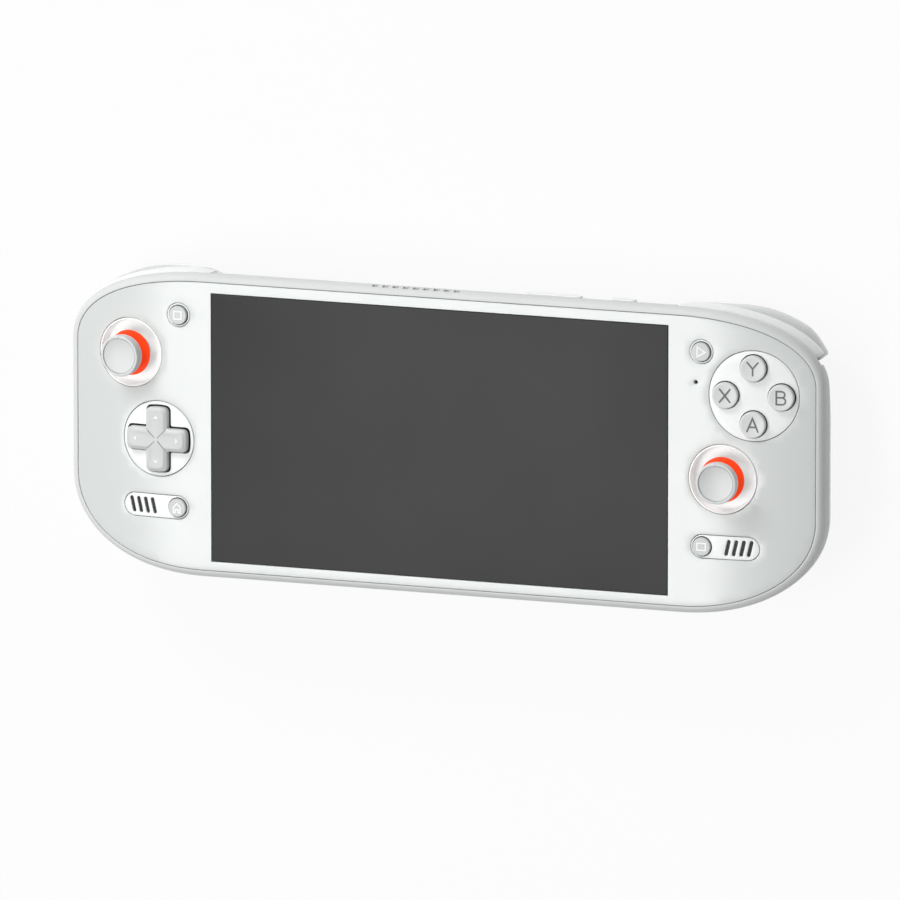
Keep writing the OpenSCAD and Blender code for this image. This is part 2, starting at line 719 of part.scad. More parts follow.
module stick_cap(i) color("gainsboro") placed() on_stick(i) difference() {
    rotate_extrude() polygon([
        [0, collar_t],
        [cap_stem, collar_t],
        [cap_stem, cap_low - 0.5],
        [cap_r - 0.9, cap_low],
        [cap_r - 0.3, cap_low + 0.8],
        [cap_r, cap_low + 2],
        [cap_r, cap_top - 1.3],
        [cap_r - 0.15, cap_top - 0.5],
        [cap_r - 0.45, cap_top - 0.1],
        [dish_r + 0.1, cap_top],
        [dish_r, cap_top - 0.1],
        [dish_r, cap_top - cap_step],
        [0, cap_top - cap_step]
    ]);
    translate([0, 0, cap_top - cap_step - cap_dish + dish_ball]) sphere(dish_ball);
    cylinder(h = collar_t + shaft_in_cap + seam, r = shaft_r + pin_gap);
}

// Level plane at a depth, seen from a place on the face
function plane_at(x, local_x, depth) =
    (local_x * sin(wing_tilt(x)) - depth - face_z(x)) / cos(wing_tilt(x));
function sag(local_x) = local_x * local_x / (2 * wing_radius);
foot_depth = dome_top - press_gap;

// Direction pad on a rocker with crossed pins
dpad_place = [-lower_stick_x, -lower_stick_y];
dpad_pivot = 5.8;
dpad_swing = 1;
dpad_flange_r = 6.6;
dpad_flange_t = 0.5;
dpad_gap = 0.42;
dpad_bevel = 0.8;
rocker_half = 1.5;
rocker_t = 2;
rocker_pin_r = 0.8;
lug_in = 3;
lug_t = 1.4;
lug_half = 1.3;
foot_ring = 7.6;
foot_r = 1.2;
dpad_corner = 1.5;
dpad_top_corner = 1;
module dpad_cross(grow) {
    for (turn = [0, 90]) rotate(turn)
        rounded_rect(dpad_span + 2 * grow, dpad_arm + 2 * grow, dpad_corner);
}
module on_dpad() {
    on_face(dpad_place.x, dpad_place.y) children();
}
module dpad_disc() color("white") placed() difference() {
    face_insert(dpad_place.x, dpad_place.y, dpad_disc_r);
    on_dpad() linear_extrude(bore_reach, center = true) dpad_cross(dpad_gap);
}
module dpad() color("gainsboro") placed() on_dpad() {
    low = insert_t + dpad_swing;
    for (turn = [0, 90]) rotate(turn) hull() {
        translate([0, 0, -low]) linear_extrude(low + dpad_height - dpad_bevel)
            rounded_rect(dpad_span, dpad_arm, dpad_corner);
        linear_extrude(dpad_height)
            rounded_rect(dpad_span - 2 * dpad_bevel, dpad_arm - 2 * dpad_bevel, dpad_top_corner);
    }
    translate([0, 0, -low - dpad_flange_t]) cylinder(h = dpad_flange_t + seam, r = dpad_flange_r);
    for (side = [0, 180]) rotate([0, 0, side]) difference() {
        translate([-lug_half, lug_in, -dpad_pivot - lug_half])
            cube([2 * lug_half, lug_t, dpad_pivot + lug_half - low]);
        translate([0, 0, -dpad_pivot]) across("y", lug_in - seam, lug_t + 2 * seam, rocker_pin_r + pin_gap);
    }
    for (turn = [0:90:270]) {
        x = foot_ring * cos(turn);
        foot = plane_at(dpad_place.x, x, foot_depth);
        translate([x, foot_ring * sin(turn), foot]) cylinder(h = -low - foot, r = foot_r);
    }
}
module dpad_rocker() color("gray") placed() on_dpad() translate([0, 0, -dpad_pivot]) {
    cube([2 * rocker_half, 2 * rocker_half, rocker_t], center = true);
    for (side = [0, 180]) rotate([0, 0, side]) {
        across("x", 0, lug_in + lug_t - seam, rocker_pin_r);
        across("y", 0, lug_in + lug_t - seam, rocker_pin_r);
    }
}
membrane_r = 9.8;
membrane_hole = 6;
dome_r = 1.6;
module dpad_membrane() color("dimgray") placed() translate([dpad_place.x, dpad_place.y, -control_board_z]) {
    translate([0, 0, seat_gap]) difference() {
        cylinder(h = membrane_t - seat_gap, r = membrane_r);
        translate([0, 0, -seam]) cylinder(h = membrane_t + 2 * seam, r = membrane_hole);
    }
    for (turn = [0:90:270]) rotate(turn) translate([foot_ring, 0, seat_gap])
        cylinder(h = control_board_z - dome_top - seat_gap, r = dome_r);
}

// Face buttons on their disc
face_flange = 0.9;
face_flange_t = 0.5;
face_stem_r = 1.5;
face_round = 0.45;
face_dish = 0.2;
face_dish_ball = 22;
function button_spot(turn) = face_button_ring * [cos(turn), sin(turn)];
module on_disc() {
    on_face(face_disc_x, face_disc_y) children();
}
module abxy_disc() color("white") placed() difference() {
    face_insert(face_disc_x, face_disc_y, face_disc_r);
    on_disc() for (turn = [0:90:270]) translate(button_spot(turn))
        cylinder(h = bore_reach, r = face_button_r + button_gap, center = true);
}
module face_button(turn) color("gainsboro") placed() on_disc() translate(button_spot(turn)) {
    spot = button_spot(turn);
    top = face_button_h - sag(spot.x);
    flange_r = face_button_r + face_flange;
    low = insert_t + sag(abs(spot.x) + flange_r) + flange_gap;
    foot = plane_at(face_disc_x, spot.x, foot_depth);
    difference() {
        rotate_extrude() polygon([
            [0, foot],
            [face_stem_r, foot],
            [face_stem_r, -low - face_flange_t],
            [flange_r, -low - face_flange_t],
            [flange_r, -low],
            [face_button_r, -low],
            [face_button_r, top - face_round],
            [face_button_r - 0.3 * face_round, top - 0.3 * face_round],
            [face_button_r - face_round, top],
            [0, top]
        ]);
        translate([0, 0, top - face_dish + face_dish_ball]) sphere(face_dish_ball);
    }
}
module abxy_membrane() color("dimgray") placed()
    translate([face_disc_x, face_disc_y, -control_board_z + seat_gap]) {
        cylinder(h = membrane_t - seat_gap, r = face_disc_r - insert_flange_w);
        for (turn = [0:90:270]) {
            spot = button_spot(turn);
            translate([spot.x * cos(wing_tilt(face_disc_x)), spot.y, 0])
                cylinder(h = control_board_z - dome_top - seat_gap, r = dome_r);
        }
    }

// Small buttons and the pill inserts with the speaker slots
small_flange = 0.9;
small_flange_t = 0.6;
small_stem_r = 1.2;
small_top = 0.35;
small_round = 0.25;
module small_button(x, y, r, under) {
    on_face(x, y) rotate_extrude() polygon([
        [0, plane_at(x, 0, foot_depth)],
        [small_stem_r, plane_at(x, 0, foot_depth)],
        [small_stem_r, -under - small_flange_t],
        [r + small_flange, -under - small_flange_t],
        [r + small_flange, -under],
        [r, -under],
        [r, small_top - small_round],
        [r - small_round, small_top],
        [0, small_top]
    ]);
}
module menu_button(side) color("whitesmoke") placed()
    small_button(side * menu_x, menu_y, menu_button_r, plate_t + flange_gap);
module pill_button(side) color("whitesmoke") placed()
    small_button(side * pill_button_x, -pill_y, pill_button_r, insert_t + flange_gap);
module pill_insert(side) color("white") placed() difference() {
    union() {
        intersection() {
            face_band(0, insert_t);
            pill_hole(side, -insert_gap);
        }
        intersection() {
            face_band(plate_t + flange_gap, insert_flange_t);
            pill_hole(side, insert_flange_w);
        }
    }
    face_hole(side * pill_button_x, -pill_y, pill_button_r + button_gap);
    for (i = [0:3]) on_face(side * (slot_x + i * slot_pitch), -pill_y)
        rotate(90 - side * slot_lean) linear_extrude(bore_reach, center = true) pill_outline(slot_l, slot_w);
}
speaker_size = [11.5, 8, 3.6];
magnet_t = 0.5;
magnet_r = 3;
speaker_x = slot_x + 1.5 * slot_pitch;
module speaker(side) color("black") placed() on_face(side * speaker_x, -pill_y) {
    low = insert_t + sag(speaker_size.x / 2) + flange_gap;
    translate([0, 0, -low - speaker_size.z / 2]) cube(speaker_size, center = true);
    translate([0, 0, -low - speaker_size.z + seat_gap - magnet_t]) cylinder(h = magnet_t, r = magnet_r);
}

// Control boards under the wings
board_in = 69.2;
board_mid = 80.5;
board_lap = 1;
board_out = 103.5;
board_high = 33.6;
board_low = -26.6;
can_clear = 0.7;
switch_r = 1.5;
module control_plate(band) {
    translate([0, 0, -control_board_z - control_board_t]) linear_extrude(control_board_t) {
        translate([board_in, board_low]) square([board_mid - board_in, board_high - board_low]);
        translate([board_mid - board_lap, band[0]])
            square([board_out - board_mid + board_lap, band[1] - band[0]]);
    }
    for (p = [[menu_x, menu_y], [pill_button_x, -pill_y]])
        translate([p.x, p.y, -control_board_z - seam])
            cylinder(h = control_board_z - dome_top + seam, r = switch_r);
}
module can_hole(i, x_sign) {
    translate([x_sign * stick_places[i].x, stick_places[i].y, -control_board_z])
        cylinder(h = bore_reach, r = can_r + can_clear, center = true);
}
module left_control_board() color("darkgreen") placed() {
    mirror([1, 0, 0]) difference() {
        control_plate([-lower_stick_y - membrane_r, -lower_stick_y + membrane_r]);
        can_hole(0, -1);
    }
    on_dpad() for (side = [0, 180]) rotate([0, 0, side]) difference() {
        deep = plane_at(dpad_place.x, 0, control_board_z + control_board_t / 2);
        translate([lug_in, -lug_half, deep]) cube([lug_t, 2 * lug_half, -dpad_pivot + lug_half - deep]);
        translate([0, 0, -dpad_pivot]) across("x", lug_in - seam, lug_t + 2 * seam, rocker_pin_r + pin_gap);
    }
}
module right_control_board() color("darkgreen") placed() difference() {
    union() {
        control_plate([-lower_stick_y - membrane_r, face_disc_y - 4]);
        translate([face_disc_x, face_disc_y, -control_board_z - control_board_t])
            cylinder(h = control_board_t, r = face_disc_r - 0.6);
    }
    can_hole(1, 1);
}

// Bumpers on upright pins at their inner ends
bumper_top = rim_strip + 0.35;
bumper_low = bumper_top + bumper_depth;
function bumper_section(s) = let (
    z = face_z(s[0].x),
    reach = bumper_reach(s[0].x)
) [
    out(s, 0.4, z - bumper_top),
    out(s, rim_out - 0.1, z - bumper_top),
    out(s, lerp(rim_out, reach, 0.55), z - bumper_top - 1),
    out(s, reach, z - bumper_top - 2.6),
    out(s, reach - 0.1, z - bumper_low + 0.7),
    out(s, reach - 0.5, z - bumper_low),
    out(s, 0.4, z - bumper_low),
    out(s, 0, z - bumper_low + 0.4),
    out(s, 0, z - bumper_top - 0.4)
];
module right_bumper() color("white") placed() difference() {
    skin([for (s = bumper_stations) bumper_section(s)]);
    bumper_axis() translate([0, 0, -bumper_low - seam])
        cylinder(h = bumper_depth + 2 * seam, r = bumper_pin_r + pin_gap);
}
module left_bumper() mirror([1, 0, 0]) right_bumper();
module bumper_pins() color("silver") placed() both_sides() bumper_axis()
    translate([0, 0, -bumper_low])
        cylinder(h = bumper_low - rim_strip + bumper_pin_seat - seam, r = bumper_pin_r);

// Triggers on slanted hinge pins
trigger_top = bumper_low + 0.5;
trigger_first = bumper_end + 3.5;
trigger_start = bumper_start + 3;
trigger_stations = shoulder_stations(trigger_first, trigger_start);
trigger_outer = [[0, -1.4], [0.1, -0.4], [0.28, 0], [0.55, -0.25], [0.76, -1.3], [0.91, -3], [1, -4.6]];
trigger_inner = [[0.965, -5.8], [0.8, -3.9], [0.55, -2.35], [0.28, -2.1], [0.04, -2.5]];
function trigger_section(s) = let (
    high = face_z(s[0].x) - trigger_top,
    reach = trigger_reach(s[0].x)
) [
    for (p = trigger_outer) out(s, reach + p[1], lerp(high, -trigger_tip, p[0])),
    for (p = trigger_inner) out(s, max(reach, trigger_clear) + p[1], lerp(high, -trigger_tip, p[0]))
];
module right_trigger() color("white") placed() difference() {
    union() {
        skin([for (s = trigger_stations) trigger_section(s)]);
        trigger_axis() for (i = [0, 1]) {
            along_hinge(lug_at(i) - trigger_lug_w / 2, trigger_lug_w, trigger_lug_r);
            translate([lug_at(i) - trigger_lug_w / 2 + seam, 0, -trigger_lug_r + 2 * seam])
                cube([trigger_lug_w - 2 * seam, arm_length(i), 2 * trigger_lug_r - 4 * seam]);
        }
    }
    trigger_axis() for (i = [0, 1])
        along_hinge(lug_at(i) - trigger_lug_w, 2 * trigger_lug_w, trigger_pin_r + pin_gap);
}
module left_trigger() mirror([1, 0, 0]) right_trigger();
pin_from = lug_at(0) - trigger_lug_w / 2 - lug_side_gap - bracket_t;
pin_to = lug_at(1) + trigger_lug_w / 2 + lug_side_gap + bracket_t;
module trigger_pins() color("silver") placed() both_sides() trigger_axis()
    along_hinge(pin_from, pin_to - pin_from, trigger_pin_r);
spring_wire = 0.5;
module trigger_springs() color("silver") placed() both_sides() trigger_axis() {
    from = lug_at(0) + trigger_lug_w / 2 + lug_side_gap;
    to = lug_at(1) - trigger_lug_w / 2 - lug_side_gap;
    translate([from, 0, 0]) rotate([0, 90, 0]) rotate_extrude()
        translate([trigger_pin_r + flange_gap, 0]) square([spring_wire, to - from]);
}

// Buttons in the top edge
side_button_in = 37.3 - face_top;
side_button_out = rim_out + 0.35;
module side_button(x, l) {
    translate([x, face_top + side_button_in, -side_button_z]) rotate([-90, 0, 0])
        linear_extrude(side_button_out - side_button_in) pill_outline(l, side_button_w);
}
module volume_rocker() color("whitesmoke") placed() side_button(volume_x, volume_l);
module power_button() color("whitesmoke") placed() side_button(power_x, power_l);

// Inside: main board, battery, fan, heat sink, motors and ports
port_in = 29.2;
port_mouth = face_bottom + 1.4;
board_edge = port_in - 0.6;
board_half = 56;
strip_half = 42;
strip_top = 22.5;
column_in = 29.5;
column_top = 34;
column_low = 20;
chip_x = (board_half + column_in) / 2;
chip_y = 4;
chip_w = 20;
chip_t = 1.5;
memory_size = [12, 8, 0.9];
memory_pitch = 18;
module main_board() color("darkgreen") placed() {
    translate([0, 0, -main_board_z - main_board_t]) linear_extrude(main_board_t) {
        polygon([[-strip_half, -board_edge], [strip_half, -board_edge], [strip_half, -strip_top],
            [-column_in, -strip_top], [-column_in, column_top], [-board_half, column_top],
            [-board_half, -column_low], [-strip_half, -column_low]]);
    }
    translate([-chip_x, chip_y, seat_gap - main_board_z - main_board_t]) {
        translate([0, 0, -chip_t / 2]) cube([chip_w, chip_w, chip_t], center = true);
        for (side = [-1, 1]) translate([0, side * memory_pitch, -memory_size.z / 2])
            cube(memory_size, center = true);
    }
}
fan_case = [38, 37];
battery_size = [42, 55, 5.5];
battery_gap = 2;
battery_place = [fan_place.x + fan_case.x / 2 + battery_gap + battery_size.x / 2, 7.5];
module battery() color("black") placed()
    translate([battery_place.x, battery_place.y, -inner_z - battery_size.z / 2])
        cube(battery_size, center = true);
fan_case_t = 7.6;
fan_wall = 0.9;
fan_clear = 0.8;
fan_intake_r = 12;
fan_hub_r = 6;
fan_axle_r = 1.2;
fan_outlet = 30;
module fan_housing() color("black") placed() translate([fan_place.x, fan_place.y, -inner_z]) {
    difference() {
        translate([0, 0, -fan_case_t / 2]) cube([fan_case.x, fan_case.y, fan_case_t], center = true);
        translate([0, 0, -fan_case_t + fan_wall]) {
            cylinder(h = fan_case_t - 2 * fan_wall, r = fan_r + fan_clear);
            translate([-fan_outlet / 2, 0, 0]) cube([fan_outlet, fan_case.y, fan_case_t - 2 * fan_wall]);
        }
        cylinder(h = 3 * fan_case_t, r = fan_intake_r, center = true);
    }
    translate([0, 0, -fan_wall]) cylinder(h = fan_wall, r = fan_intake_r + fan_clear);
    translate([0, 0, -fan_case_t + fan_wall]) cylinder(h = fan_case_t - 1.5 * fan_wall, r = fan_axle_r);
}
blade_t = 0.7;
blade_lean = 28;
module fan_rotor() color("dimgray") placed()
    translate([fan_place.x, fan_place.y, -inner_z - fan_case_t + 2 * fan_wall]) {
        high = fan_case_t - 4 * fan_wall;
        difference() {
            cylinder(h = high, r = fan_hub_r);
            translate([0, 0, -seam]) cylinder(h = high + 2 * seam, r = fan_axle_r + pin_gap);
        }
        for (i = [0:fan_blades - 1]) rotate(360 * i / fan_blades)
            translate([fan_hub_r - 1, 0, 0]) rotate(blade_lean) translate([0, -blade_t / 2, 0])
                cube([fan_r - fan_hub_r, blade_t, high]);
    }
sink_size = [30, 13.2, 6.8];
fin_pitch = 2.5;
fin_t = 0.5;
module heat_sink() color("peru") placed()
    translate([fan_place.x, fan_place.y + fan_case.y / 2 + seam + sink_size.y / 2, -inner_z]) {
        translate([0, 0, -0.5]) cube([sink_size.x, sink_size.y, 1], center = true);
        for (i = [0:floor(sink_size.x / fin_pitch) - 1])
            translate([-sink_size.x / 2 + i * fin_pitch, -sink_size.y / 2, -sink_size.z])
                cube([fin_t, sink_size.y, sink_size.z - 0.5]);
    }
motor_place = [grip_full_x + 7, -12];
motor_r = 5;
motor_t = 4;
module vibration_motor(side) color("silver") placed()
    translate([side * motor_place.x, motor_place.y, -body_t - grip_depth + cover_wall + seat_gap])
        cylinder(h = motor_t, r = motor_r);
usb_wall = 0.4;
usb_depth = 6.6;
usb_tongue = [6.7, 5.8, 0.7];
module usb_port() color("silver") placed() {
    difference() {
        usb_shape(0, -port_mouth, port_mouth - port_in);
        usb_shape(-usb_wall, -port_mouth - seam, usb_depth);
    }
    translate([0, -port_mouth + usb_depth - usb_tongue.y / 2, -port_z]) cube(usb_tongue, center = true);
}
jack_depth = 11;
module headphone_jack() color("black") placed() translate([jack_x, -port_mouth, -port_z]) rotate([-90, 0, 0])
    difference() {
        cylinder(h = port_mouth - port_in, r = jack_barrel_r);
        translate([0, 0, -seam]) cylinder(h = jack_depth + seam, r = jack_r);
    }
card_mouth = [11.2, 10, 0.9];
module card_slot() color("dimgray") placed() translate([card_x, -port_mouth, -port_z]) difference() {
    translate([-card_size.x / 2, 0, -card_size.y / 2]) cube([card_size.x, port_mouth - port_in, card_size.y]);
    translate([-card_mouth.x / 2, -seam, -card_mouth.z / 2]) cube(card_mouth);
}

face_plate();
display_glass();
display_module();
mid_frame();
back_cover();
chassis_plate();
back_screws();
stick_socket(0);  // left_stick_socket
stick_base(0);  // left_stick_base
stick_yoke(0);  // left_stick_yoke
stick_hub(0);  // left_stick_hub
stick_shaft(0);  // left_stick_shaft
stick_collar(0);  // left_stick_collar
stick_cap(0);  // left_stick_cap
stick_socket(1);  // right_stick_socket
stick_base(1);  // right_stick_base
stick_yoke(1);  // right_stick_yoke
stick_hub(1);  // right_stick_hub
stick_shaft(1);  // right_stick_shaft
stick_collar(1);  // right_stick_collar
stick_cap(1);  // right_stick_cap
dpad_disc();
dpad();
dpad_rocker();
dpad_membrane();
abxy_disc();
face_button(270);  // button_a
face_button(0);  // button_b
face_button(180);  // button_x
face_button(90);  // button_y
abxy_membrane();
menu_button(-1);  // select_button
menu_button(1);  // start_button
pill_insert(-1);  // left_pill
pill_insert(1);  // right_pill
pill_button(-1);  // home_button
pill_button(1);  // return_button
speaker(-1);  // left_speaker
speaker(1);  // right_speaker
left_control_board();
right_control_board();
left_bumper();
right_bumper();
bumper_pins();
left_trigger();
right_trigger();
trigger_pins();
trigger_springs();
volume_rocker();
power_button();
main_board();
battery();
fan_housing();
fan_rotor();
heat_sink();
vibration_motor(-1);  // left_motor
vibration_motor(1);  // right_motor
usb_port();
headphone_jack();
card_slot();
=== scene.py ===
"""White handheld game console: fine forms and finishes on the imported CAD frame.

Forms are worked out in millimetres in the console's own frame: its origin is the screen's
centre on the flat front, X runs right, Y to the top edge and Z out of the screen.
"""

from __future__ import annotations

import logging
import math
from dataclasses import dataclass, field, replace
from enum import Enum
from typing import Mapping, Sequence

import bmesh
import bpy
import numpy as np
from mathutils import Matrix, Vector
from mathutils.geometry import delaunay_2d_cdt


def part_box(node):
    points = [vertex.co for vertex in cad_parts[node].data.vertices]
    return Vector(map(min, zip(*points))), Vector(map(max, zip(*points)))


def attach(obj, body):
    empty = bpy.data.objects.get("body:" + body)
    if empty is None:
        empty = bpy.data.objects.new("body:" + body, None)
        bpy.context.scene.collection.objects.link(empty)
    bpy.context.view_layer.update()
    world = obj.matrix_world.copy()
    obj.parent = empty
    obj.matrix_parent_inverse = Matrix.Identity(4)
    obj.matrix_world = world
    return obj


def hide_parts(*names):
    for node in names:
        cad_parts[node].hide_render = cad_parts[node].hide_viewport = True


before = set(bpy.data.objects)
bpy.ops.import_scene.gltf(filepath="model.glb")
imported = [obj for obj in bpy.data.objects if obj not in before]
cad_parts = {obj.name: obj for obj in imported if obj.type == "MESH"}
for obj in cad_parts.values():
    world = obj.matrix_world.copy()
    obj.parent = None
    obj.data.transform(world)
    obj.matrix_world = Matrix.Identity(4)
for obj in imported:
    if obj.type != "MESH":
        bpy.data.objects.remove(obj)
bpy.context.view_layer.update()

LOG = logging.getLogger("console")
Array = np.ndarray
Pair = tuple[float, float]
# A corner is x, y and how far its rounding reaches; in a turned profile x is the radius.
Corner = tuple[float, float, float]

MM = 0.001
# Points nearer than these become one: in metres in a mesh, in millimetres in a net.
WELD_M = 1e-7
WELD_NET = 1e-7
# Triangles of a net that are less high than this, in millimetres, are dropped.
SLIVER = 2e-4
# Edges stay sharp from this angle in degrees.
SHARP = 35.0
# Pieces in an arc, in a fine arc and between two points of a smooth curve.
ARC, FINE_ARC, CURVE = 5, 6, 16
# Most of a side that the rounding of its corner may take.
ARM_SHARE = 0.49
# Pieces round the discs, the wells and keys, the small keys and the pinholes.
DISC_TURN, TURN, KEY_TURN, PIN_TURN = 120, 96, 64, 32

# Noise values that most of a surface lies between, and the detail of the two noises.
PATCH_SPREAD = (0.3, 0.7)
PATCH_DETAIL, GRAIN_DETAIL = 3.0, 2.0
BUMP_STRENGTH = 0.6
# Brushed lines are fifty times as long as they are wide.
BRUSH_STRETCH = (0.02, 1.0, 1.0)
TRACK_LAYOUT = {"offset": 0.37, "squash": 1.4}
TRACK_TONES = {
    "Color1": (1.0, 1.0, 1.0, 1.0),
    "Color2": (0.7, 0.7, 0.7, 1.0),
    "Mortar": (0.0, 0.0, 0.0, 1.0),
    "Mortar Size": 0.03,
}


class Side(Enum):
    """Left or right half of the console."""

    LEFT = -1
    RIGHT = 1

    @property
    def word(self) -> str:
        """Name of the side in the names of nodes and bodies."""
        return self.name.lower()


class Texture(Enum):
    """How a surface was made, which sets the pattern of its bump."""

    MOULDED = "moulded against an eroded or polished steel tool"
    BRUSHED = "drawn or brushed in one direction"
    ETCHED = "etched copper tracks under a lacquer"


def linear(code: str) -> tuple[float, float, float, float]:
    """Turn an sRGB hex colour to linear light.

    Args:
        code: Colour as #RRGGBB.

    Returns:
        Red, green, blue and an alpha of 1.
    """
    parts = [int(code[i:i + 2], 16) / 255 for i in (1, 3, 5)]
    red, green, blue = (p / 12.92 if p <= 0.04045 else ((p + 0.055) / 1.055) ** 2.4 for p in parts)
    return (red, green, blue, 1.0)


def add_node(
    tree: bpy.types.NodeTree,
    kind: str,
    settings: Mapping[str, object] | None = None,
    inputs: Mapping[str | int, object] | None = None,
) -> bpy.types.Node:
    """Add a node with its settings and its input values or links.

    Args:
        tree: Node tree that gets the node.
        kind: Blender's name of the node type, without ShaderNode.
        settings: Properties of the node.
        inputs: Values, or output sockets to link, by input name or number.

    Returns:
        The new node.
    """
    node = tree.nodes.new(f"ShaderNode{kind}")
    for key, value in (settings or {}).items():
        setattr(node, key, value)
    for key, value in (inputs or {}).items():
        if isinstance(value, bpy.types.NodeSocket):
            tree.links.new(value, node.inputs[key])
        else:
            node.inputs[key].default_value = value
    return node


def empty_tree(owner: bpy.types.Material | bpy.types.World) -> bpy.types.NodeTree:
    """Give a material or world a node tree with nothing in it.

    Args:
        owner: Material or world.

    Returns:
        Its empty tree.
    """
    owner.use_nodes = True
    owner.node_tree.nodes.clear()
    return owner.node_tree


@dataclass(frozen=True)
class Finish:
    """A real material and the way its surface was made."""

    name: str
    slot: str
    colour: str
    shade: str
    roughness: Pair
    grain_mm: float
    grain_height_mm: float
    patch_mm: float = 14.0
    metallic: float = 0.0
    ior: float = 1.5
    coat: float = 0.0
    coat_roughness: float = 0.03
    # Strength of a painted glow: emission that paints light onto a part which is no lamp.
    painted_glow: float = 0.0
    texture: Texture = Texture.MOULDED

    def material(self) -> bpy.types.Material:
        """Make the material once, and give it again when it is asked for later.

        Returns:
            The material with its nodes.
        """
        made = bpy.data.materials.get(self.name)
        if made:
            return made
        material = bpy.data.materials.new(self.name)
        tree = empty_tree(material)
        place = add_node(tree, "TexCoord").outputs["Object"]
        noise = {"Vector": place, "Scale": 1 / (self.patch_mm * MM), "Detail": PATCH_DETAIL}
        patch = add_node(tree, "TexNoise", inputs=noise).outputs["Fac"]
        height, tint = self._pattern(tree, place, patch)
        tones = {0: tint, 6: linear(self.colour), 7: linear(self.shade)}
        colour = add_node(tree, "Mix", {"data_type": "RGBA"}, tones)
        spread = {
            "Value": patch,
            "From Min": PATCH_SPREAD[0],
            "From Max": PATCH_SPREAD[1],
            "To Min": self.roughness[0],
            "To Max": self.roughness[1],
        }
        roughness = add_node(tree, "MapRange", inputs=spread)
        relief = {
            "Strength": BUMP_STRENGTH,
            "Distance": self.grain_height_mm * MM,
            "Height": height,
        }
        bump = add_node(tree, "Bump", inputs=relief)
        values: dict[str | int, object] = {
            "Base Color": colour.outputs[2],
            "Roughness": roughness.outputs["Result"],
            "Normal": bump.outputs["Normal"],
            "Metallic": self.metallic,
            "Coat Weight": self.coat,
            "Coat Roughness": self.coat_roughness,
            # The painted glow gives off the finish's own colour.
            "Emission Color": linear(self.colour),
            "Emission Strength": self.painted_glow,
        }
        if not self.metallic:
            values["IOR"] = self.ior
        shader = add_node(tree, "BsdfPrincipled", inputs=values)
        add_node(tree, "OutputMaterial", inputs={"Surface": shader.outputs["BSDF"]})
        return material

    def _pattern(
        self, tree: bpy.types.NodeTree, place: bpy.types.NodeSocket, patch: bpy.types.NodeSocket
    ) -> tuple[bpy.types.NodeSocket, bpy.types.NodeSocket]:
        """Add the nodes of the surface's pattern.

        Args:
            tree: Node tree of the material.
            place: Place on the object.
            patch: Slow variation over the surface.

        Returns:
            Height for the bump and the share of the second colour.
        """
        grain = {"Vector": place, "Scale": 1 / (self.grain_mm * MM)}
        if self.texture is Texture.ETCHED:
            tracks = add_node(tree, "TexBrick", TRACK_LAYOUT, {**grain, **TRACK_TONES})
            return tracks.outputs["Fac"], tracks.outputs["Fac"]
        if self.texture is Texture.BRUSHED:
            along = add_node(tree, "Mapping", inputs={"Vector": place, "Scale": BRUSH_STRETCH})
            grain["Vector"] = along.outputs["Vector"]
        lines = add_node(tree, "TexNoise", inputs={**grain, "Detail": GRAIN_DETAIL}).outputs["Fac"]
        return lines, lines if self.texture is Texture.BRUSHED else patch


# White ABS under a satin lacquer: cool and a little grey in itself, with a broad pale sheen where
# it mirrors the soft box. The real grain of the mouldings is about 0.05 mm, too fine to show, so
# here and below it is drawn at 0.3 to 0.8 mm.
SHELL = Finish(
    "abs_white_satin_lacquer", "white_shell", "#D5D9D7", "#D2D6D4", (0.4, 0.46), 0.5, 0.002,
    ior=1.53, coat=1.0, coat_roughness=0.24,
)
# The rim's ABS, matt from an eroded tool and with no lacquer: it goes grey where it turns from
# the light.
RIM = Finish(
    "abs_white_matt", "white_shell", "#DFE1E0", "#DBDDDC", (0.55, 0.62), 0.5, 0.002, ior=1.38
)
# White ABS from a stoned tool: smoother than the rim, so the inserts look a little whiter.
INSERT = Finish(
    "abs_white_stoned", "white_insert", "#FAFBFB", "#F7F9F8", (0.36, 0.42), 0.6, 0.002, ior=1.53
)
# The same ABS with a painted glow: a faint emission that keeps the wells of the sticks white
# in the caps' shade.
WELL = replace(INSERT, name="abs_white_painted_glow", painted_glow=0.12)
# Light grey POM keys, satin from the tool and wiped by thumbs into slow patches of gloss.
KEY = Finish(
    "pom_grey_satin", "grey_button", "#D3D5D5", "#CFD1D1", (0.34, 0.44), 0.5, 0.002, 6.0, ior=1.48
)
# The same POM in a lighter grey for the four face buttons.
FACE_KEY = replace(KEY, name="pom_light_satin", colour="#E4E5E5", shade="#E0E1E1")
# The same POM for the round menu keys, in the grey that lets their white signs show.
PALE_KEY = replace(
    KEY, name="pom_pale_satin", slot="pale_button", colour="#D2D4D4", shade="#CED0D0"
)
# Pale grey TPE of the stick caps: a soft moulding, a little duller than the keys.
CAP = replace(
    KEY,
    name="tpe_pale_grey_moulded",
    colour="#DFE1E1",
    shade="#DBDDDD",
    roughness=(0.42, 0.5),
)
# Orange TPU: a soft moulding with an even, slightly waxy surface, and a painted glow, an emission
# that keeps it bright in the cap's shade.
COLLAR = Finish(
    "tpu_orange_painted_glow", "orange_collar", "#FF4612", "#FA400E", (0.44, 0.52), 0.4, 0.002, 5.0,
    ior=1.35, painted_glow=0.42,
)
# White POM of the stick's neck and boot, polished by rubbing.
STEM = Finish(
    "pom_white_polished", "white_stem", "#EEF0F0", "#E6E9E9", (0.26, 0.34), 0.4, 0.001, 5.0,
    ior=1.48,
)
# Glass with an anti-reflection coat over a display that is switched off: dark, with a faint haze
# and weak reflections, so its index is well under that of bare glass.
GLASS = Finish(
    "glass_coated_over_display", "screen_glass", "#333334", "#313132", (0.2, 0.24), 2.0, 0.0004,
    30.0, ior=1.2,
)
# Black ABS of hidden mouldings, plain and matt; also painted shadow in the gaps round keys.
BLACK = Finish("abs_black_matt", "black_plastic", "#0B0B0C", "#101011", (0.5, 0.6), 0.5, 0.004)
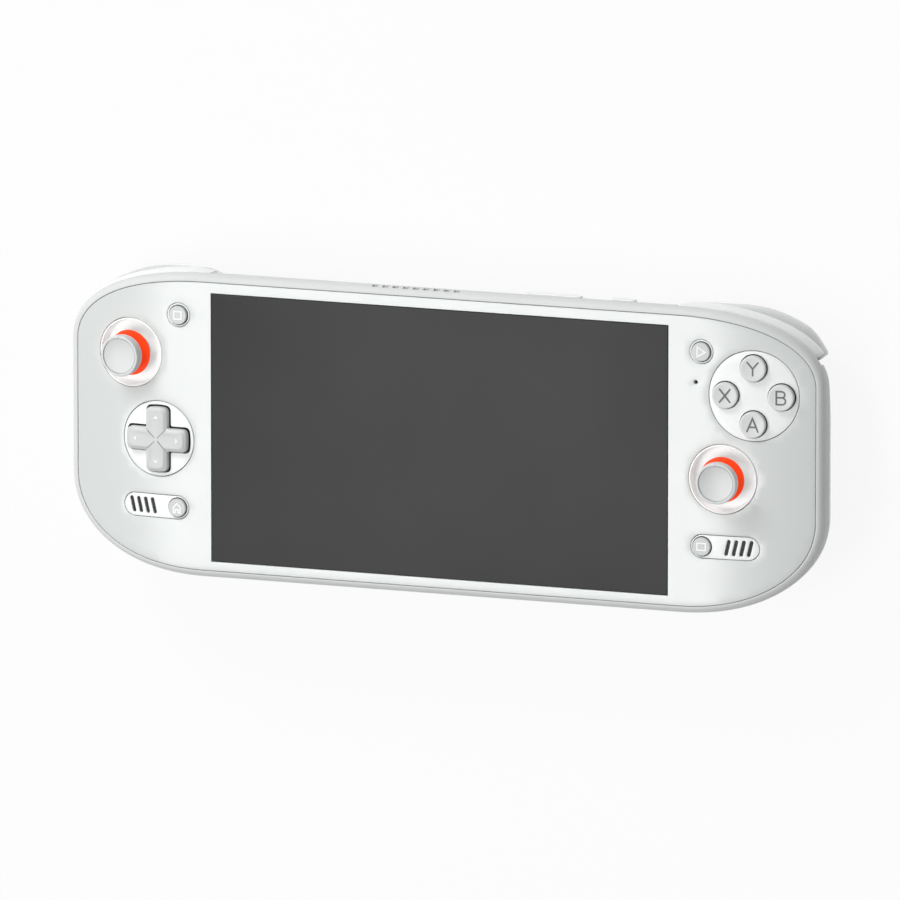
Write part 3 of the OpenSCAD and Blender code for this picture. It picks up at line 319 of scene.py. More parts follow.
# Dark grey nylon: matt, a little cloudy in its grey.
DARK = Finish("nylon_dark_moulded", "dark_plastic", "#3A3B3D", "#333437", (0.5, 0.6), 0.6, 0.004)
# Silicone membrane: dull and soft-looking.
SILICONE = Finish(
    "silicone_grey_moulded", "silicone", "#5E6063", "#56585B", (0.6, 0.7), 0.5, 0.003, ior=1.41
)
# Fibreglass board with copper tracks under green lacquer: the tracks stand out as fine ridges.
BOARD = Finish(
    "fibreglass_green_lacquered", "circuit_board", "#124A2B", "#2A7148", (0.3, 0.4), 4.0, 0.03,
    texture=Texture.ETCHED,
)
# Drawn steel: bright, with fine lines along the wire or sheet.
STEEL = Finish(
    "steel_drawn", "steel", "#B9BBBD", "#9FA2A5", (0.24, 0.36), 0.4, 0.004, metallic=1.0,
    texture=Texture.BRUSHED,
)
# Die-cast aluminium: pale grey and slightly grainy.
CAST = Finish(
    "aluminium_die_cast", "cast_aluminium", "#C4C6C8", "#B4B7B9", (0.4, 0.5), 0.8, 0.008,
    metallic=1.0,
)
# Copper sheet of the heat sink: warm, with a dull skin where it has darkened.
COPPER = Finish(
    "copper_rolled", "copper", "#D08A62", "#A8683F", (0.3, 0.45), 0.6, 0.004, metallic=1.0,
    texture=Texture.BRUSHED,
)
# Pad-printed ink: flat mid grey, a little rougher than the key under it.
INK = Finish("ink_grey_printed", "dark_plastic", "#707274", "#68696B", (0.5, 0.6), 0.3, 0.002)
# Pad-printed white ink on the pale keys.
WHITE_INK = Finish(
    "ink_white_printed", "white_insert", "#FBFCFC", "#F6F8F8", (0.45, 0.55), 0.3, 0.002
)


def console_origin() -> Array:
    """Give the console's own origin in the frame, in metres, from where the screen's glass lies."""
    low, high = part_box("display_glass")
    return np.array([(low.x + high.x) / 2, (low.y + high.y) / 2, high.z])


ORIGIN = console_origin()


def moved(points: Array, matrix: Matrix) -> Array:
    """Move points by a matrix.

    Args:
        points: Rows of x, y and z.
        matrix: Placement.

    Returns:
        The moved rows.
    """
    m = np.array(matrix)
    return np.asarray(points, float) @ m[:3, :3].T + m[:3, 3]


def raised(line: Array, height: Array | float) -> Array:
    """Give the points of a flat line a height, one for all or one for each."""
    return np.column_stack([line, np.broadcast_to(height, len(line))])


def about_z(degrees: float) -> Matrix:
    """Give a turn about the Z axis."""
    return Matrix.Rotation(math.radians(degrees), 4, "Z")


def smooth(v: Array) -> Array:
    """Ease a share from 0 to 1."""
    v = np.clip(v, 0, 1)
    return v * v * (3 - 2 * v)


def rounded(corners: Sequence[Corner], steps: int = ARC, closed: bool = False) -> Array:
    """Turn each corner of a line into an arc.

    Args:
        corners: Corners of the line; one with no reach stays a corner.
        steps: Pieces in an arc.
        closed: Whether the line goes back to its start.

    Returns:
        Rows of the rounded line.
    """
    pts = np.asarray(corners, float)[:, :2]
    n = len(pts)
    line: list[Array] = []
    for i, (_, _, reach) in enumerate(corners):
        ends = not closed and i in (0, n - 1)
        if reach <= 0 or ends:
            line.append(pts[i])
            continue
        arms = []
        for other in (pts[i - 1], pts[(i + 1) % n]):
            run = other - pts[i]
            arms.append(pts[i] + run * min(ARM_SHARE, reach / np.linalg.norm(run)))
        for t in np.linspace(0, 1, steps + 1):
            line.append((1 - t) ** 2 * arms[0] + 2 * t * (1 - t) * pts[i] + t * t * arms[1])
    return np.array(line)


def through(points: Sequence[Pair], count: int) -> Array:
    """Lay a smooth curve through points.

    Args:
        points: Points on the curve.
        count: Number of rows wanted.

    Returns:
        Rows at even steps along the curve.
    """
    p = np.asarray(points, float)
    p = np.vstack([2 * p[0] - p[1], p, 2 * p[-1] - p[-2]])
    dense = []
    for i in range(1, len(p) - 2):
        a, b, c, d = p[i - 1:i + 3]
        bend, twist = 2 * a - 5 * b + 4 * c - d, 3 * b - a - 3 * c + d
        for t in np.linspace(0, 1, CURVE, endpoint=i == len(p) - 3):
            dense.append(0.5 * (2 * b + (c - a) * t + bend * t**2 + twist * t**3))
    line = np.array(dense)
    run = np.concatenate([[0], np.cumsum(np.linalg.norm(np.diff(line, axis=0), axis=1))])
    at = np.linspace(0, run[-1], count)
    return np.column_stack([np.interp(at, run, line[:, k]) for k in range(line.shape[1])])


def inside(points: Array, loop: Array) -> Array:
    """Say which points lie inside a closed loop.

    Args:
        points: Rows of x and y.
        loop: Rows of the loop.

    Returns:
        True for each point inside.
    """
    x, y = points[:, 0][:, None], points[:, 1][:, None]
    a, b = loop, np.roll(loop, -1, axis=0)
    spans = (a[:, 1] > y) != (b[:, 1] > y)
    rise = np.where(b[:, 1] == a[:, 1], 1.0, b[:, 1] - a[:, 1])
    cross = (b[:, 0] - a[:, 0]) * (y - a[:, 1]) / rise + a[:, 0]
    return np.count_nonzero(spans & (x < cross), axis=1) % 2 == 1


@dataclass
class Form:
    """Points and faces of a solid, in millimetres in the console's frame."""

    points: list[Sequence[float]] = field(default_factory=list)
    faces: list[list[int]] = field(default_factory=list)

    def add(self, other: Form) -> Form:
        """Take in another form.

        Args:
            other: Form to take in.

        Returns:
            This form.
        """
        shift = len(self.points)
        self.points.extend(other.points)
        self.faces.extend([[i + shift for i in f] for f in other.faces])
        return self

    def solid(self, name: str, sharp: float = SHARP) -> bpy.types.Object:
        """Make the form a Blender object.

        Args:
            name: Name of the piece.
            sharp: Angle in degrees from which an edge stays sharp.

        Returns:
            The new object.
        """
        mesh = bpy.data.meshes.new(name)
        places = np.asarray(self.points, float) * MM + ORIGIN
        mesh.from_pydata(places.tolist(), [], self.faces)
        work = bmesh.new()
        work.from_mesh(mesh)
        bmesh.ops.remove_doubles(work, verts=work.verts, dist=WELD_M)
        for items, kind in ((work.edges, "EDGES"), (work.verts, "VERTS")):
            loose = [item for item in items if not item.link_faces]
            bmesh.ops.delete(work, geom=loose, context=kind)
        bmesh.ops.recalc_face_normals(work, faces=work.faces)
        work.to_mesh(mesh)
        work.free()
        piece = bpy.data.objects.new(name, mesh)
        bpy.context.scene.collection.objects.link(piece)
        shade(piece, sharp)
        return piece

    def piece(self, name: str, body: str, finish: Finish, *nodes: str) -> bpy.types.Object:
        """Make the form a piece that is dressed and rides on its body, as fit() does."""
        return fit(self.solid(name), body, finish, *nodes)


def shade(piece: bpy.types.Object, sharp: float = SHARP) -> None:
    """Shade a piece smooth apart from its sharp edges.

    Args:
        piece: Mesh object.
        sharp: Angle in degrees from which an edge stays sharp.
    """
    piece.data.polygons.foreach_set("use_smooth", [True] * len(piece.data.polygons))
    piece.data.set_sharp_from_angle(angle=math.radians(sharp))


def carve(piece: bpy.types.Object, tool: Form) -> bpy.types.Object:
    """Cut a form out of a piece.

    Args:
        piece: Mesh object that is cut.
        tool: Form that is taken away.

    Returns:
        The cut piece.
    """
    cutter = tool.solid("cutter")
    step = piece.modifiers.new("cut", "BOOLEAN")
    step.object = cutter
    step.solver = "EXACT"
    seen = piece.evaluated_get(bpy.context.evaluated_depsgraph_get())
    cut = bpy.data.meshes.new_from_object(seen)
    piece.modifiers.clear()
    old, piece.data = piece.data, cut
    cut.name = piece.name
    for mesh in (old, cutter.data):
        bpy.data.meshes.remove(mesh)
    shade(piece)
    return piece


def fit(piece: bpy.types.Object, body: str, finish: Finish, *nodes: str) -> bpy.types.Object:
    """Give a piece its finish and its body.

    Args:
        piece: New piece.
        body: CAD body that it moves with.
        finish: Its finish.
        nodes: CAD nodes that it stands for.

    Returns:
        The piece.
    """
    piece.data.materials.clear()
    piece.data.materials.append(finish.material())
    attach(piece, body)
    if nodes:
        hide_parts(*nodes)
    LOG.info("%s on %s in %s", piece.name, body, finish.name)
    return piece


def loft(loops: Array, ring: bool = False) -> Form:
    """Join closed loops with equal numbers of points to a solid.

    Args:
        loops: Loops by points by x, y and z.
        ring: Whether the last loop joins the first, with no end faces.

    Returns:
        The solid.
    """
    n, m = loops.shape[:2]
    index = np.arange(n * m).reshape(n, m)
    rows = np.vstack([index, index[:1]]) if ring else index
    a, d = rows[:-1], rows[1:]
    sides = np.stack([a, np.roll(a, -1, 1), np.roll(d, -1, 1), d], axis=-1)
    faces = sides.reshape(-1, 4).tolist()
    if not ring:
        faces += [index[0][::-1].tolist(), index[-1].tolist()]
    return Form(loops.reshape(-1, 3).tolist(), faces)


@dataclass(frozen=True)
class Face:
    """Front face: flat in the middle, with wings that curve back."""

    wing_start: float = 74.5
    wing_radius: float = 125.0

    def height(self, x: Array | float) -> Array:
        """Give the face's height at a distance from the middle."""
        run = np.maximum(0.0, np.abs(x) - self.wing_start)
        return np.sqrt(self.wing_radius**2 - run**2) - self.wing_radius

    def spot(self, x: float, y: float) -> Matrix:
        """Give the placement of a thing that stands on the face.

        Args:
            x: Distance from the middle.
            y: Height above the screen's centre.

        Returns:
            Placement with Z out of the face.
        """
        lean = math.asin(max(0.0, abs(x) - self.wing_start) / self.wing_radius)
        place = Matrix.Translation((x, y, float(self.height(x))))
        return place @ Matrix.Rotation(math.copysign(lean, x), 4, "Y")

    def on(self, side: Side, place: Pair) -> Matrix:
        """Give the placement on one side of a thing that both sides have."""
        return self.spot(side.value * place[0], place[1])

    def laid(self, points: Array, spot: Matrix) -> Array:
        """Lay points on the curved face.

        Args:
            points: Rows of x, y and height above the face, seen from the spot.
            spot: Placement on the face.

        Returns:
            Rows in the console's frame.
        """
        base = moved(raised(points[:, :2], 0.0), spot)
        base[:, 2] = self.height(base[:, 0])
        return base + np.array(spot)[:3, 2] * points[:, 2:3]


FACE = Face()


def lathe(
    profile: Array, spot: Matrix, on_face: Sequence[bool] | None = None, segments: int = TURN
) -> Form:
    """Turn a closed profile round a spot's axis.

    Args:
        profile: Rows of radius and height.
        spot: Placement of the axis.
        on_face: For each row, whether its height is measured from the curved face.
        segments: Pieces round the axis.

    Returns:
        The turned solid.
    """
    radius, height = profile.T
    rows = []
    for t in np.linspace(0, math.tau, segments, endpoint=False):
        local = np.column_stack([radius * math.cos(t), radius * math.sin(t), height])
        row = moved(local, spot)
        if on_face is not None:
            row = np.where(np.asarray(on_face)[:, None], FACE.laid(local, spot), row)
        rows.append(row)
    return loft(np.array(rows), ring=True)


def puck(radius: float, low: float, high: float, edge: float) -> Array:
    """Give the profile of a turned disc with rounded edges."""
    return rounded([(0, low, 0), (radius, low, edge), (radius, high, edge), (0, high, 0)])


def on_spot(line: Array, spot: Matrix) -> Array:
    """Place a flat loop at a spot and give its rows of x and y in the console's frame."""
    return moved(raised(line, 0.0), spot)[:, :2]


def circle(spot: Matrix, radius: float, count: int = TURN) -> Array:
    """Give a round loop on the face as rows of x and y."""
    t = np.linspace(0, math.tau, count, endpoint=False)
    return on_spot(np.column_stack([radius * np.cos(t), radius * np.sin(t)]), spot)


def rectangle(half_w: float, half_h: float) -> Array:
    """Give the corners of a rectangle from its half width and half height."""
    return np.array([(-half_w, -half_h), (half_w, -half_h), (half_w, half_h), (-half_w, half_h)])


def soft_rectangle(half_w: float, half_h: float, reach: float, steps: int = ARC) -> Array:
    """Give a rectangle with rounded corners."""
    return rounded([(x, y, reach) for x, y in rectangle(half_w, half_h)], steps, closed=True)


def pill_line(
    length: float, height: float, turn: float = 0.0, arc: int = 20, straight: int = 8
) -> Array:
    """Give a loop with straight sides and round ends.

    Args:
        length: Length over all.
        height: Height over all.
        turn: Turn of the loop in degrees.
        arc: Pieces in a round end.
        straight: Pieces in a straight side.

    Returns:
        Rows of x and y.
    """
    half, r = (length - height) / 2, height / 2
    right = np.linspace(-math.pi / 2, math.pi / 2, arc + 1)
    end = np.column_stack([half + r * np.cos(right), r * np.sin(right)])
    top = raised(np.linspace(half, -half, straight + 1)[1:-1], r)
    line = np.vstack([end, top, -end, -top])
    c, s = math.cos(math.radians(turn)), math.sin(math.radians(turn))
    return line @ np.array([[c, s], [-s, c]])


def into(loop: Array, hole: bool) -> Array:
    """Give the direction into the plate at each point of a loop.

    Args:
        loop: Rows of x and y.
        hole: Whether the loop bounds a hole.

    Returns:
        Rows of unit length.
    """
    run = np.roll(loop, -1, 0) - np.roll(loop, 1, 0)
    run /= np.linalg.norm(run, axis=1)[:, None]
    following = np.roll(loop, -1, 0)
    area = np.sum(loop[:, 0] * following[:, 1] - following[:, 0] * loop[:, 1])
    turn = (1 if area > 0 else -1) * (-1 if hole else 1)
    return turn * np.column_stack([-run[:, 1], run[:, 0]])


def quarter(edge: float, steps: int) -> list[Pair]:
    """Give the inset and drop of points on the quarter circle of an edge."""
    turns = np.linspace(0, math.pi / 2, steps)
    return [(edge * (1 - math.cos(a)), edge * (1 - math.sin(a))) for a in turns]


def within(points: Array, loops: Sequence[Array]) -> Array:
    """Say which points lie inside the first loop and outside the others."""
    keep = inside(points, loops[0])
    for hole in loops[1:]:
        keep &= ~inside(points, hole)
    return keep


def plate(
    outline: Array, holes: Sequence[Array], depth: float, edge: float = 0.16, pitch: float = 2.2
) -> Form:
    """Make a plate that follows the face, with rounded edges and holes.

    Args:
        outline: Outer loop as rows of x and y.
        holes: Loops of the holes.
        depth: Thickness.
        edge: Radius of the edges.
        pitch: Spacing of the points inside the plate, which let it curve.

    Returns:
        The plate.
    """
    edge_steps, clear = 4, 0.45 * pitch
    loops = [outline, *holes]
    sides = [into(loop, i > 0) for i, loop in enumerate(loops)]
    rims = [loop + side * edge for loop, side in zip(loops, sides)]
    form = Form()
    bounds, start = [], 0
    for loop, side in zip(loops, sides):
        rows = []
        for inset, low in [(0.0, depth), *quarter(edge, edge_steps)]:
            p = loop + side * inset
            rows.append(raised(p, FACE.height(p[:, 0]) - low))
        band = loft(np.array(rows))
        form.add(Form(band.points, band.faces[:-2]))
        n = len(loop)
        bounds += [(start + i, start + (i + 1) % n) for i in range(n)]
        start += n
    rim = np.vstack(rims)
    xs, ys = (np.arange(outline[:, k].min(), outline[:, k].max(), pitch) for k in (0, 1))
    net = np.array([(x, y) for x in xs for y in ys])
    near = np.array([np.min(np.hypot(*(rim - p).T)) for p in net])
    net = net[(near > clear) & within(net, loops)]
    flat = [Vector(p) for p in np.vstack([rim, net])]
    spots, _, tris, sources, _, _ = delaunay_2d_cdt(flat, bounds, [], 0, WELD_NET)
    spots, tris = np.array([s[:] for s in spots]), np.array(tris)
    runs = np.roll(spots[tris], -1, axis=1) - spots[tris]
    area = np.abs(runs[:, 0, 0] * runs[:, 1, 1] - runs[:, 0, 1] * runs[:, 1, 0])
    whole = area > SLIVER * np.linalg.norm(runs, axis=2).max(axis=1)
    tris = tris[whole & within(spots[tris].mean(axis=1), rims)]
    below = np.vstack([*loops, net])
    lower = np.array([below[s[0]] if s else spots[i] for i, s in enumerate(sources)])
    form.add(Form(raised(spots, FACE.height(spots[:, 0])).tolist(), tris.tolist()))
    base = raised(lower, FACE.height(lower[:, 0]) - depth)
    return form.add(Form(base.tolist(), tris[:, ::-1].tolist()))


def bar(line: Array, spot: Matrix, low: float, high: float, edge: float = 0.0) -> Form:
    """Raise a flat loop to a bar with a rounded top edge.

    Args:
        line: Loop as rows of x and y.
        spot: Placement.
        low: Height of the bottom.
        high: Height of the top.
        edge: Radius of the top edge.

    Returns:
        The bar.
    """
    side = into(line, False)
    rows = [(0.0, low)]
    rows += [(e, high - d) for e, d in (quarter(edge, FINE_ARC) if edge else [(0.0, 0.0)])]
    return loft(np.array([moved(raised(line + side * e, z), spot) for e, z in rows]))


def box(size: Sequence[float], spot: Matrix) -> Form:
    """Give a block centred on a spot, for cutting."""
    x, y, z = (s / 2 for s in size)
    return bar(rectangle(x, y), spot, -z, z)


@dataclass(frozen=True)
class Mark:
    """A sign made of strokes of even width, printed on a key."""

    strokes: tuple[tuple[Pair, ...], ...]
    width: float = 0.42
    closed: bool = False
    sunk: float = 0.08
    proud: float = 0.02
    end_steps: int = 9
    least_turn: float = 0.4

    def form(self, spot: Matrix, top: float, ball: float = 0.0) -> Form:
        """Lay the sign on a key's top.

        Args:
            spot: Placement of the key.
            top: Height of the key's middle.
            ball: Radius of the key's dish, or 0 for a flat key.

        Returns:
            The strokes as thin solids.
        """
        form = Form()
        for stroke in self.strokes:
            line = self._outline(np.asarray(stroke, float))
            rise = top + (np.sum(line**2, axis=-1) / (2 * ball) if ball else 0.0)
            shape = line.reshape(-1, 2)
            heights = np.ravel(np.broadcast_to(rise, line.shape[:-1]))
            low, high = (
                moved(raised(shape, heights + lift), spot) for lift in (-self.sunk, self.proud)
            )
            if self.closed:
                n = len(stroke)
                form.add(loft(np.array([low[:n], high[:n], high[n:], low[n:]]), ring=True))
            else:
                form.add(loft(np.array([low, high])))
        return form

    def _outline(self, line: Array) -> Array:
        """Give the outline of a stroke.

        Args:
            line: Points along the stroke.

        Returns:
            The outline, as one loop, or as an outer and an inner loop where the stroke is closed.
        """
        half = self.width / 2
        side = self._miter(line) * half
        if self.closed:
            return np.stack([line + side, line - side])
        loop = [line + side]
        for end, before in ((line[-1], line[-2]), (line[0], line[1])):
            lead = math.atan2(*(end - before)[::-1])
            turns = lead + np.linspace(math.pi / 2, -math.pi / 2, self.end_steps)[1:-1]
            loop.append(end + half * np.column_stack([np.cos(turns), np.sin(turns)]))
            loop.append((line - side)[::-1])
        return np.vstack(loop[:-1])

    def _miter(self, line: Array) -> Array:
        """Give the sideways direction at each point, long enough for a mitred corner.

        Args:
            line: Points along the stroke.

        Returns:
            Rows of x and y.
        """
        run = np.diff(np.vstack([line, line[:1]]) if self.closed else line, axis=0)
        run /= np.linalg.norm(run, axis=1)[:, None]
        side = np.column_stack([-run[:, 1], run[:, 0]])
        before, after = (side[-1:], side[:1]) if self.closed else (side[:1], side[-1:])
        n = len(line)
        first, second = np.vstack([before, side])[:n], np.vstack([side, after])[:n]
        joint = first + second
        joint /= np.linalg.norm(joint, axis=1)[:, None]
        return joint / np.maximum(self.least_turn, np.sum(joint * first, axis=1))[:, None]


def bowl(x: float, y: float, radius: float, count: int = 9) -> tuple[Pair, ...]:
    """Give points on a half circle from its top round the right to its bottom."""
    turns = np.radians(np.linspace(90, -90, count))
    return tuple((x + radius * math.cos(t), y + radius * math.sin(t)) for t in turns)


LETTER_W = 0.46
LETTERS = {
    "a": Mark((((-1.5, -1.8), (0.0, 1.8), (1.5, -1.8)), ((-0.95, -0.6), (0.95, -0.6))), LETTER_W),
    "b": Mark(
        (
            ((-1.2, -1.8), (-1.2, 1.8), *bowl(0.3, 0.95, 0.85), (-1.15, 0.1)),
            ((-1.18, 0.1), *bowl(0.4, -0.85, 0.95), (-1.18, -1.8)),
        ),
        LETTER_W,
    ),
    "x": Mark((((-1.45, -1.8), (1.45, 1.8)), ((-1.45, 1.8), (1.45, -1.8))), LETTER_W),
    "y": Mark((((-1.5, 1.8), (0.0, 0.0), (1.5, 1.8)), ((0.0, 0.0), (0.0, -1.8))), LETTER_W),
}
SQUARE = Mark((((-1.05, -1.05), (1.05, -1.05), (1.05, 1.05), (-1.05, 1.05)),), closed=True)
TRIANGLE = Mark((((-0.95, -1.35), (1.3, 0.0), (-0.95, 1.35)),), closed=True)
WINDOW = Mark((((-1.2, -0.95), (1.2, -0.95), (1.2, 0.95), (-1.2, 0.95)),), closed=True)
HOUSE = Mark(
    (
        (
            (-1.0, -1.3), (-1.0, 0.15), (0.0, 1.2), (1.0, 0.15), (1.0, -1.3), (0.4, -1.3),
            (0.4, -0.45), (-0.4, -0.45), (-0.4, -1.3),
        ),
    ),
    closed=True,
)


@dataclass(frozen=True)
class Stations:
    """Places along the outline, with their outward direction and the recess there."""

    x: Array
    y: Array
    nx: Array
    ny: Array
    recess: Array

    def out(self, distance: Array | float, z: Array | float) -> Array:
        """Give points that lie outside the outline by a distance, at a height."""
        x, y = self.x + self.nx * distance, self.y + self.ny * distance
        return raised(np.column_stack([x, y]), z)


@dataclass(frozen=True)
class Body:
    """The casing's shape: outline, rounded rim, elliptic edge and palm swells."""

    half_w: float = 107.4
    top: float = 40.35
    bottom: float = 40.05
    top_corner: Pair = (38.3, 18.9)
    bottom_corner: Pair = (38.8, 25.0)
    power: float = 2.15
    rim_out: float = 2.2
    rim_drop: float = 2.8
    thickness: float = 16.5
    grip_depth: float = 10.5
    grip_x: Pair = (50.0, 76.0)
    grip_y: Pair = (28.0, 6.0)
    grip_flat: float = 1.04
    edge_w: float = 18.0
    spine_half: float = 46.0
    spine_blend: float = 30.0
    flat_share: float = 0.16
    flat_bow: float = 0.1
    bumper_start: float = 67.5
    bumper_end: float = 16.0
    recess_ramp: float = 1.2
    recess_side: float = 3.0
    bottom_steps: int = 25
    corner_steps: int = 41
    side_steps: int = 9
    bumper_steps: int = 37
    top_steps: int = 31
    inner_steps: int = 4

    def corner(self, size: Pair, side: int, turn: float, recess: float) -> tuple[float, ...]:
        """Give a station on a corner's curve.

        Args:
            size: Width and height of the corner.
            side: 1 for a top corner, -1 for a bottom corner.
            turn: Angle on the curve, from the console's side, in degrees.
            recess: Recess there.

        Returns:
            Place, outward direction and recess.
        """
        share = 2 / self.power
        c, s = (max(0.0, v) for v in (math.cos(math.radians(turn)), math.sin(math.radians(turn))))
        n = np.array([c ** (2 - share) / size[0], side * s ** (2 - share) / size[1]])
        n /= np.linalg.norm(n)
        reach = self.top if side > 0 else self.bottom
        x = self.half_w - size[0] + size[0] * c**share
        y = side * (reach - size[1] + size[1] * s**share)
        return (x, y, n[0], n[1], recess)

    def outline(self) -> Stations:
        """Give stations all round the outline, anticlockwise from the bottom's middle.

        Returns:
            The stations; the recess is 1 along a bumper and a half at the recess's end walls.
        """
        flat = self.half_w - self.bottom_corner[0]
        low = self.bottom_corner[1] - self.bottom
        high = self.top - self.top_corner[1]
        start, end = self.bumper_start, self.bumper_end
        ramp, wall = self.recess_ramp, self.recess_side
        sweeps = (
            (self.bottom_corner, -1, 0.0, np.linspace(90, 0, self.corner_steps)),
            (self.top_corner, 1, 0.0, np.linspace(0, end - 2 * ramp - wall, self.side_steps)),
            (self.top_corner, 1, 0.5, [end - ramp - d for d in (wall, wall / 2, 0.0)]),
            (self.top_corner, 1, 1.0, np.linspace(end, 90, self.bumper_steps)),
        )
        below, *above = (
            [self.corner(size, way, t, recess) for t in turns]
            for size, way, recess, turns in sweeps
        )
        floor = np.linspace(0, flat, self.bottom_steps)[:-1]
        rows: list[tuple[float, ...]] = [(x, -self.bottom, 0.0, -1.0, 0.0) for x in floor]
        rows += below
        flank = np.linspace(low, high, self.side_steps)[1:-1]
        rows += [(self.half_w, y, 1.0, 0.0, 0.0) for y in flank]
        for sweep in above:
            rows += sweep
        rows.append((start, self.top, 0.0, 1.0, 1.0))
        rows += [(start - ramp / 3 - d, self.top, 0.0, 1.0, 0.5) for d in (0.0, wall / 2)]
        after = np.linspace(start - ramp - wall / 2, 0, self.top_steps)
        rows += [(x, self.top, 0.0, 1.0, 0.0) for x in after]
        rows += [(-x, y, -nx, ny, r) for x, y, nx, ny, r in rows[-2:0:-1]]
        return Stations(*np.array(rows).T)

    def shoulder(self, first: float, start: float, count: int) -> Stations:
        """Give stations along the right shoulder.

        Args:
            first: Angle of the first station on the corner's curve.
            start: Distance of the last station from the middle.
            count: Number of stations on the curve.

        Returns:
            The stations.
        """
        rows = [self.corner(self.top_corner, 1, t, 1.0) for t in np.linspace(first, 90, count)]
        straight = np.linspace(rows[-1][0], start, self.inner_steps)[1:]
        rows += [(x, self.top, 0.0, 1.0, 1.0) for x in straight]
        return Stations(*np.array(rows).T)

    def depth(self, x: Array, y: Array) -> Array:
        """Give the depth of the back at a place."""
        swell = smooth((np.abs(x) - self.grip_x[0]) / (self.grip_x[1] - self.grip_x[0]))
        swell = swell * smooth((self.grip_y[0] - y) / (self.grip_y[0] - self.grip_y[1]))
        return self.thickness + self.grip_depth * np.minimum(1.0, self.grip_flat * swell)

    def inset(self, s: Stations, e: Array | float) -> tuple[Array, Array]:
        """Give the places at a distance in from the rim's widest line, towards the spine."""
        x, y = s.x + s.nx * self.rim_out, s.y + s.ny * self.rim_out
        dx, dy = np.clip(x, -self.spine_half, self.spine_half) - x, -y
        run = np.hypot(dx, dy)
        return x + dx / run * e, y + dy / run * e

    def crest(self, s: Stations) -> Array:
        """Give the height of the rim's widest line."""
        return FACE.height(s.x) - self.rim_drop

    def back(self, s: Stations) -> Array:
        """Give the height at which the elliptic edge meets the back."""
        return -self.depth(*self.inset(s, self.edge_w))

    def edge_z(self, s: Stations, e: Array | float) -> Array:
        """Give the height of the elliptic edge at a distance in from the widest line."""
        q = 1 - np.clip(e / self.edge_w, 0, 1)
        return self.crest(s) - (self.crest(s) - self.back(s)) * np.sqrt(1 - q * q)

    def edge_at(self, s: Stations, z: Array | float) -> Array:
        """Give the distance in from the widest line at which the edge has a height."""
        h = np.clip((self.crest(s) - z) / (self.crest(s) - self.back(s)), 0, 1)
        return self.edge_w * (1 - np.sqrt(1 - h * h))

    def level(self, s: Stations, e: Array | float, z: Array | float) -> Array:
        """Give points at a distance in from the widest line, at a height."""
        return raised(np.column_stack(self.inset(s, e)), z)

    def middle(self, s: Stations, g: float, lift: float) -> Array:
        """Give points on the back between the elliptic edge and the spine.

        Args:
            s: Stations.
            g: Share of the way to the spine.
            lift: Distance in from the back.

        Returns:
            Rows in the console's frame.
        """
        rim = s.x + s.nx * self.rim_out
        x, y = self.inset(s, self.edge_w)
        bow = self.flat_share * (1 + self.flat_bow * (rim / self.spine_half) ** 2)
        ease = smooth((np.abs(rim) - self.spine_half) / self.spine_blend)
        share = g * (bow + (1 - bow) * ease)
        x = x + (np.clip(rim, -self.spine_half, self.spine_half) - x) * share
        y = y * (1 - share)
        return np.column_stack([x, y, lift - self.depth(x, y)])


BODY = Body()

# Places on the face and sizes that several pieces share.
SCREEN = (132.8, 74.7)
STICKS = {Side.LEFT: (-90.6, 19.3), Side.RIGHT: (82.1, -4.15)}
DPAD_SPOT = FACE.spot(-82.1, -4.15)
DISC_SPOT = FACE.spot(90.7, 19.3)
MENU = (76.05, 30.85)
PILL = (82.85, -23.05)
PILL_SIZE = (19.6, 6.7)
PILL_BUTTON = (76.4, PILL[1])
WELL_R = 9.75
DPAD_DISC_R = 10.65
FACE_DISC_R = 12.65
MENU_R = 2.6
PILL_BUTTON_R = 2.55
INSERT_GAP = 0.2
KEY_GAP = 0.28
PLATE_T = 1.6
INSERT_T = 2.5
INSERT_PITCH = 1.6
SEAM = 0.15
# Black band round a key's foot, a painted shadow that darkens the gap beside it: how far it
# stands out and reaches in, its top, and the pieces round it.
GAP_SHADOW_OUT, GAP_SHADOW_IN, GAP_SHADOW_TOP, GAP_SHADOW_TURN = 0.03, 0.3, -0.12, 72
# How far a cutter reaches to both sides of an edge.
CUT = 6.0


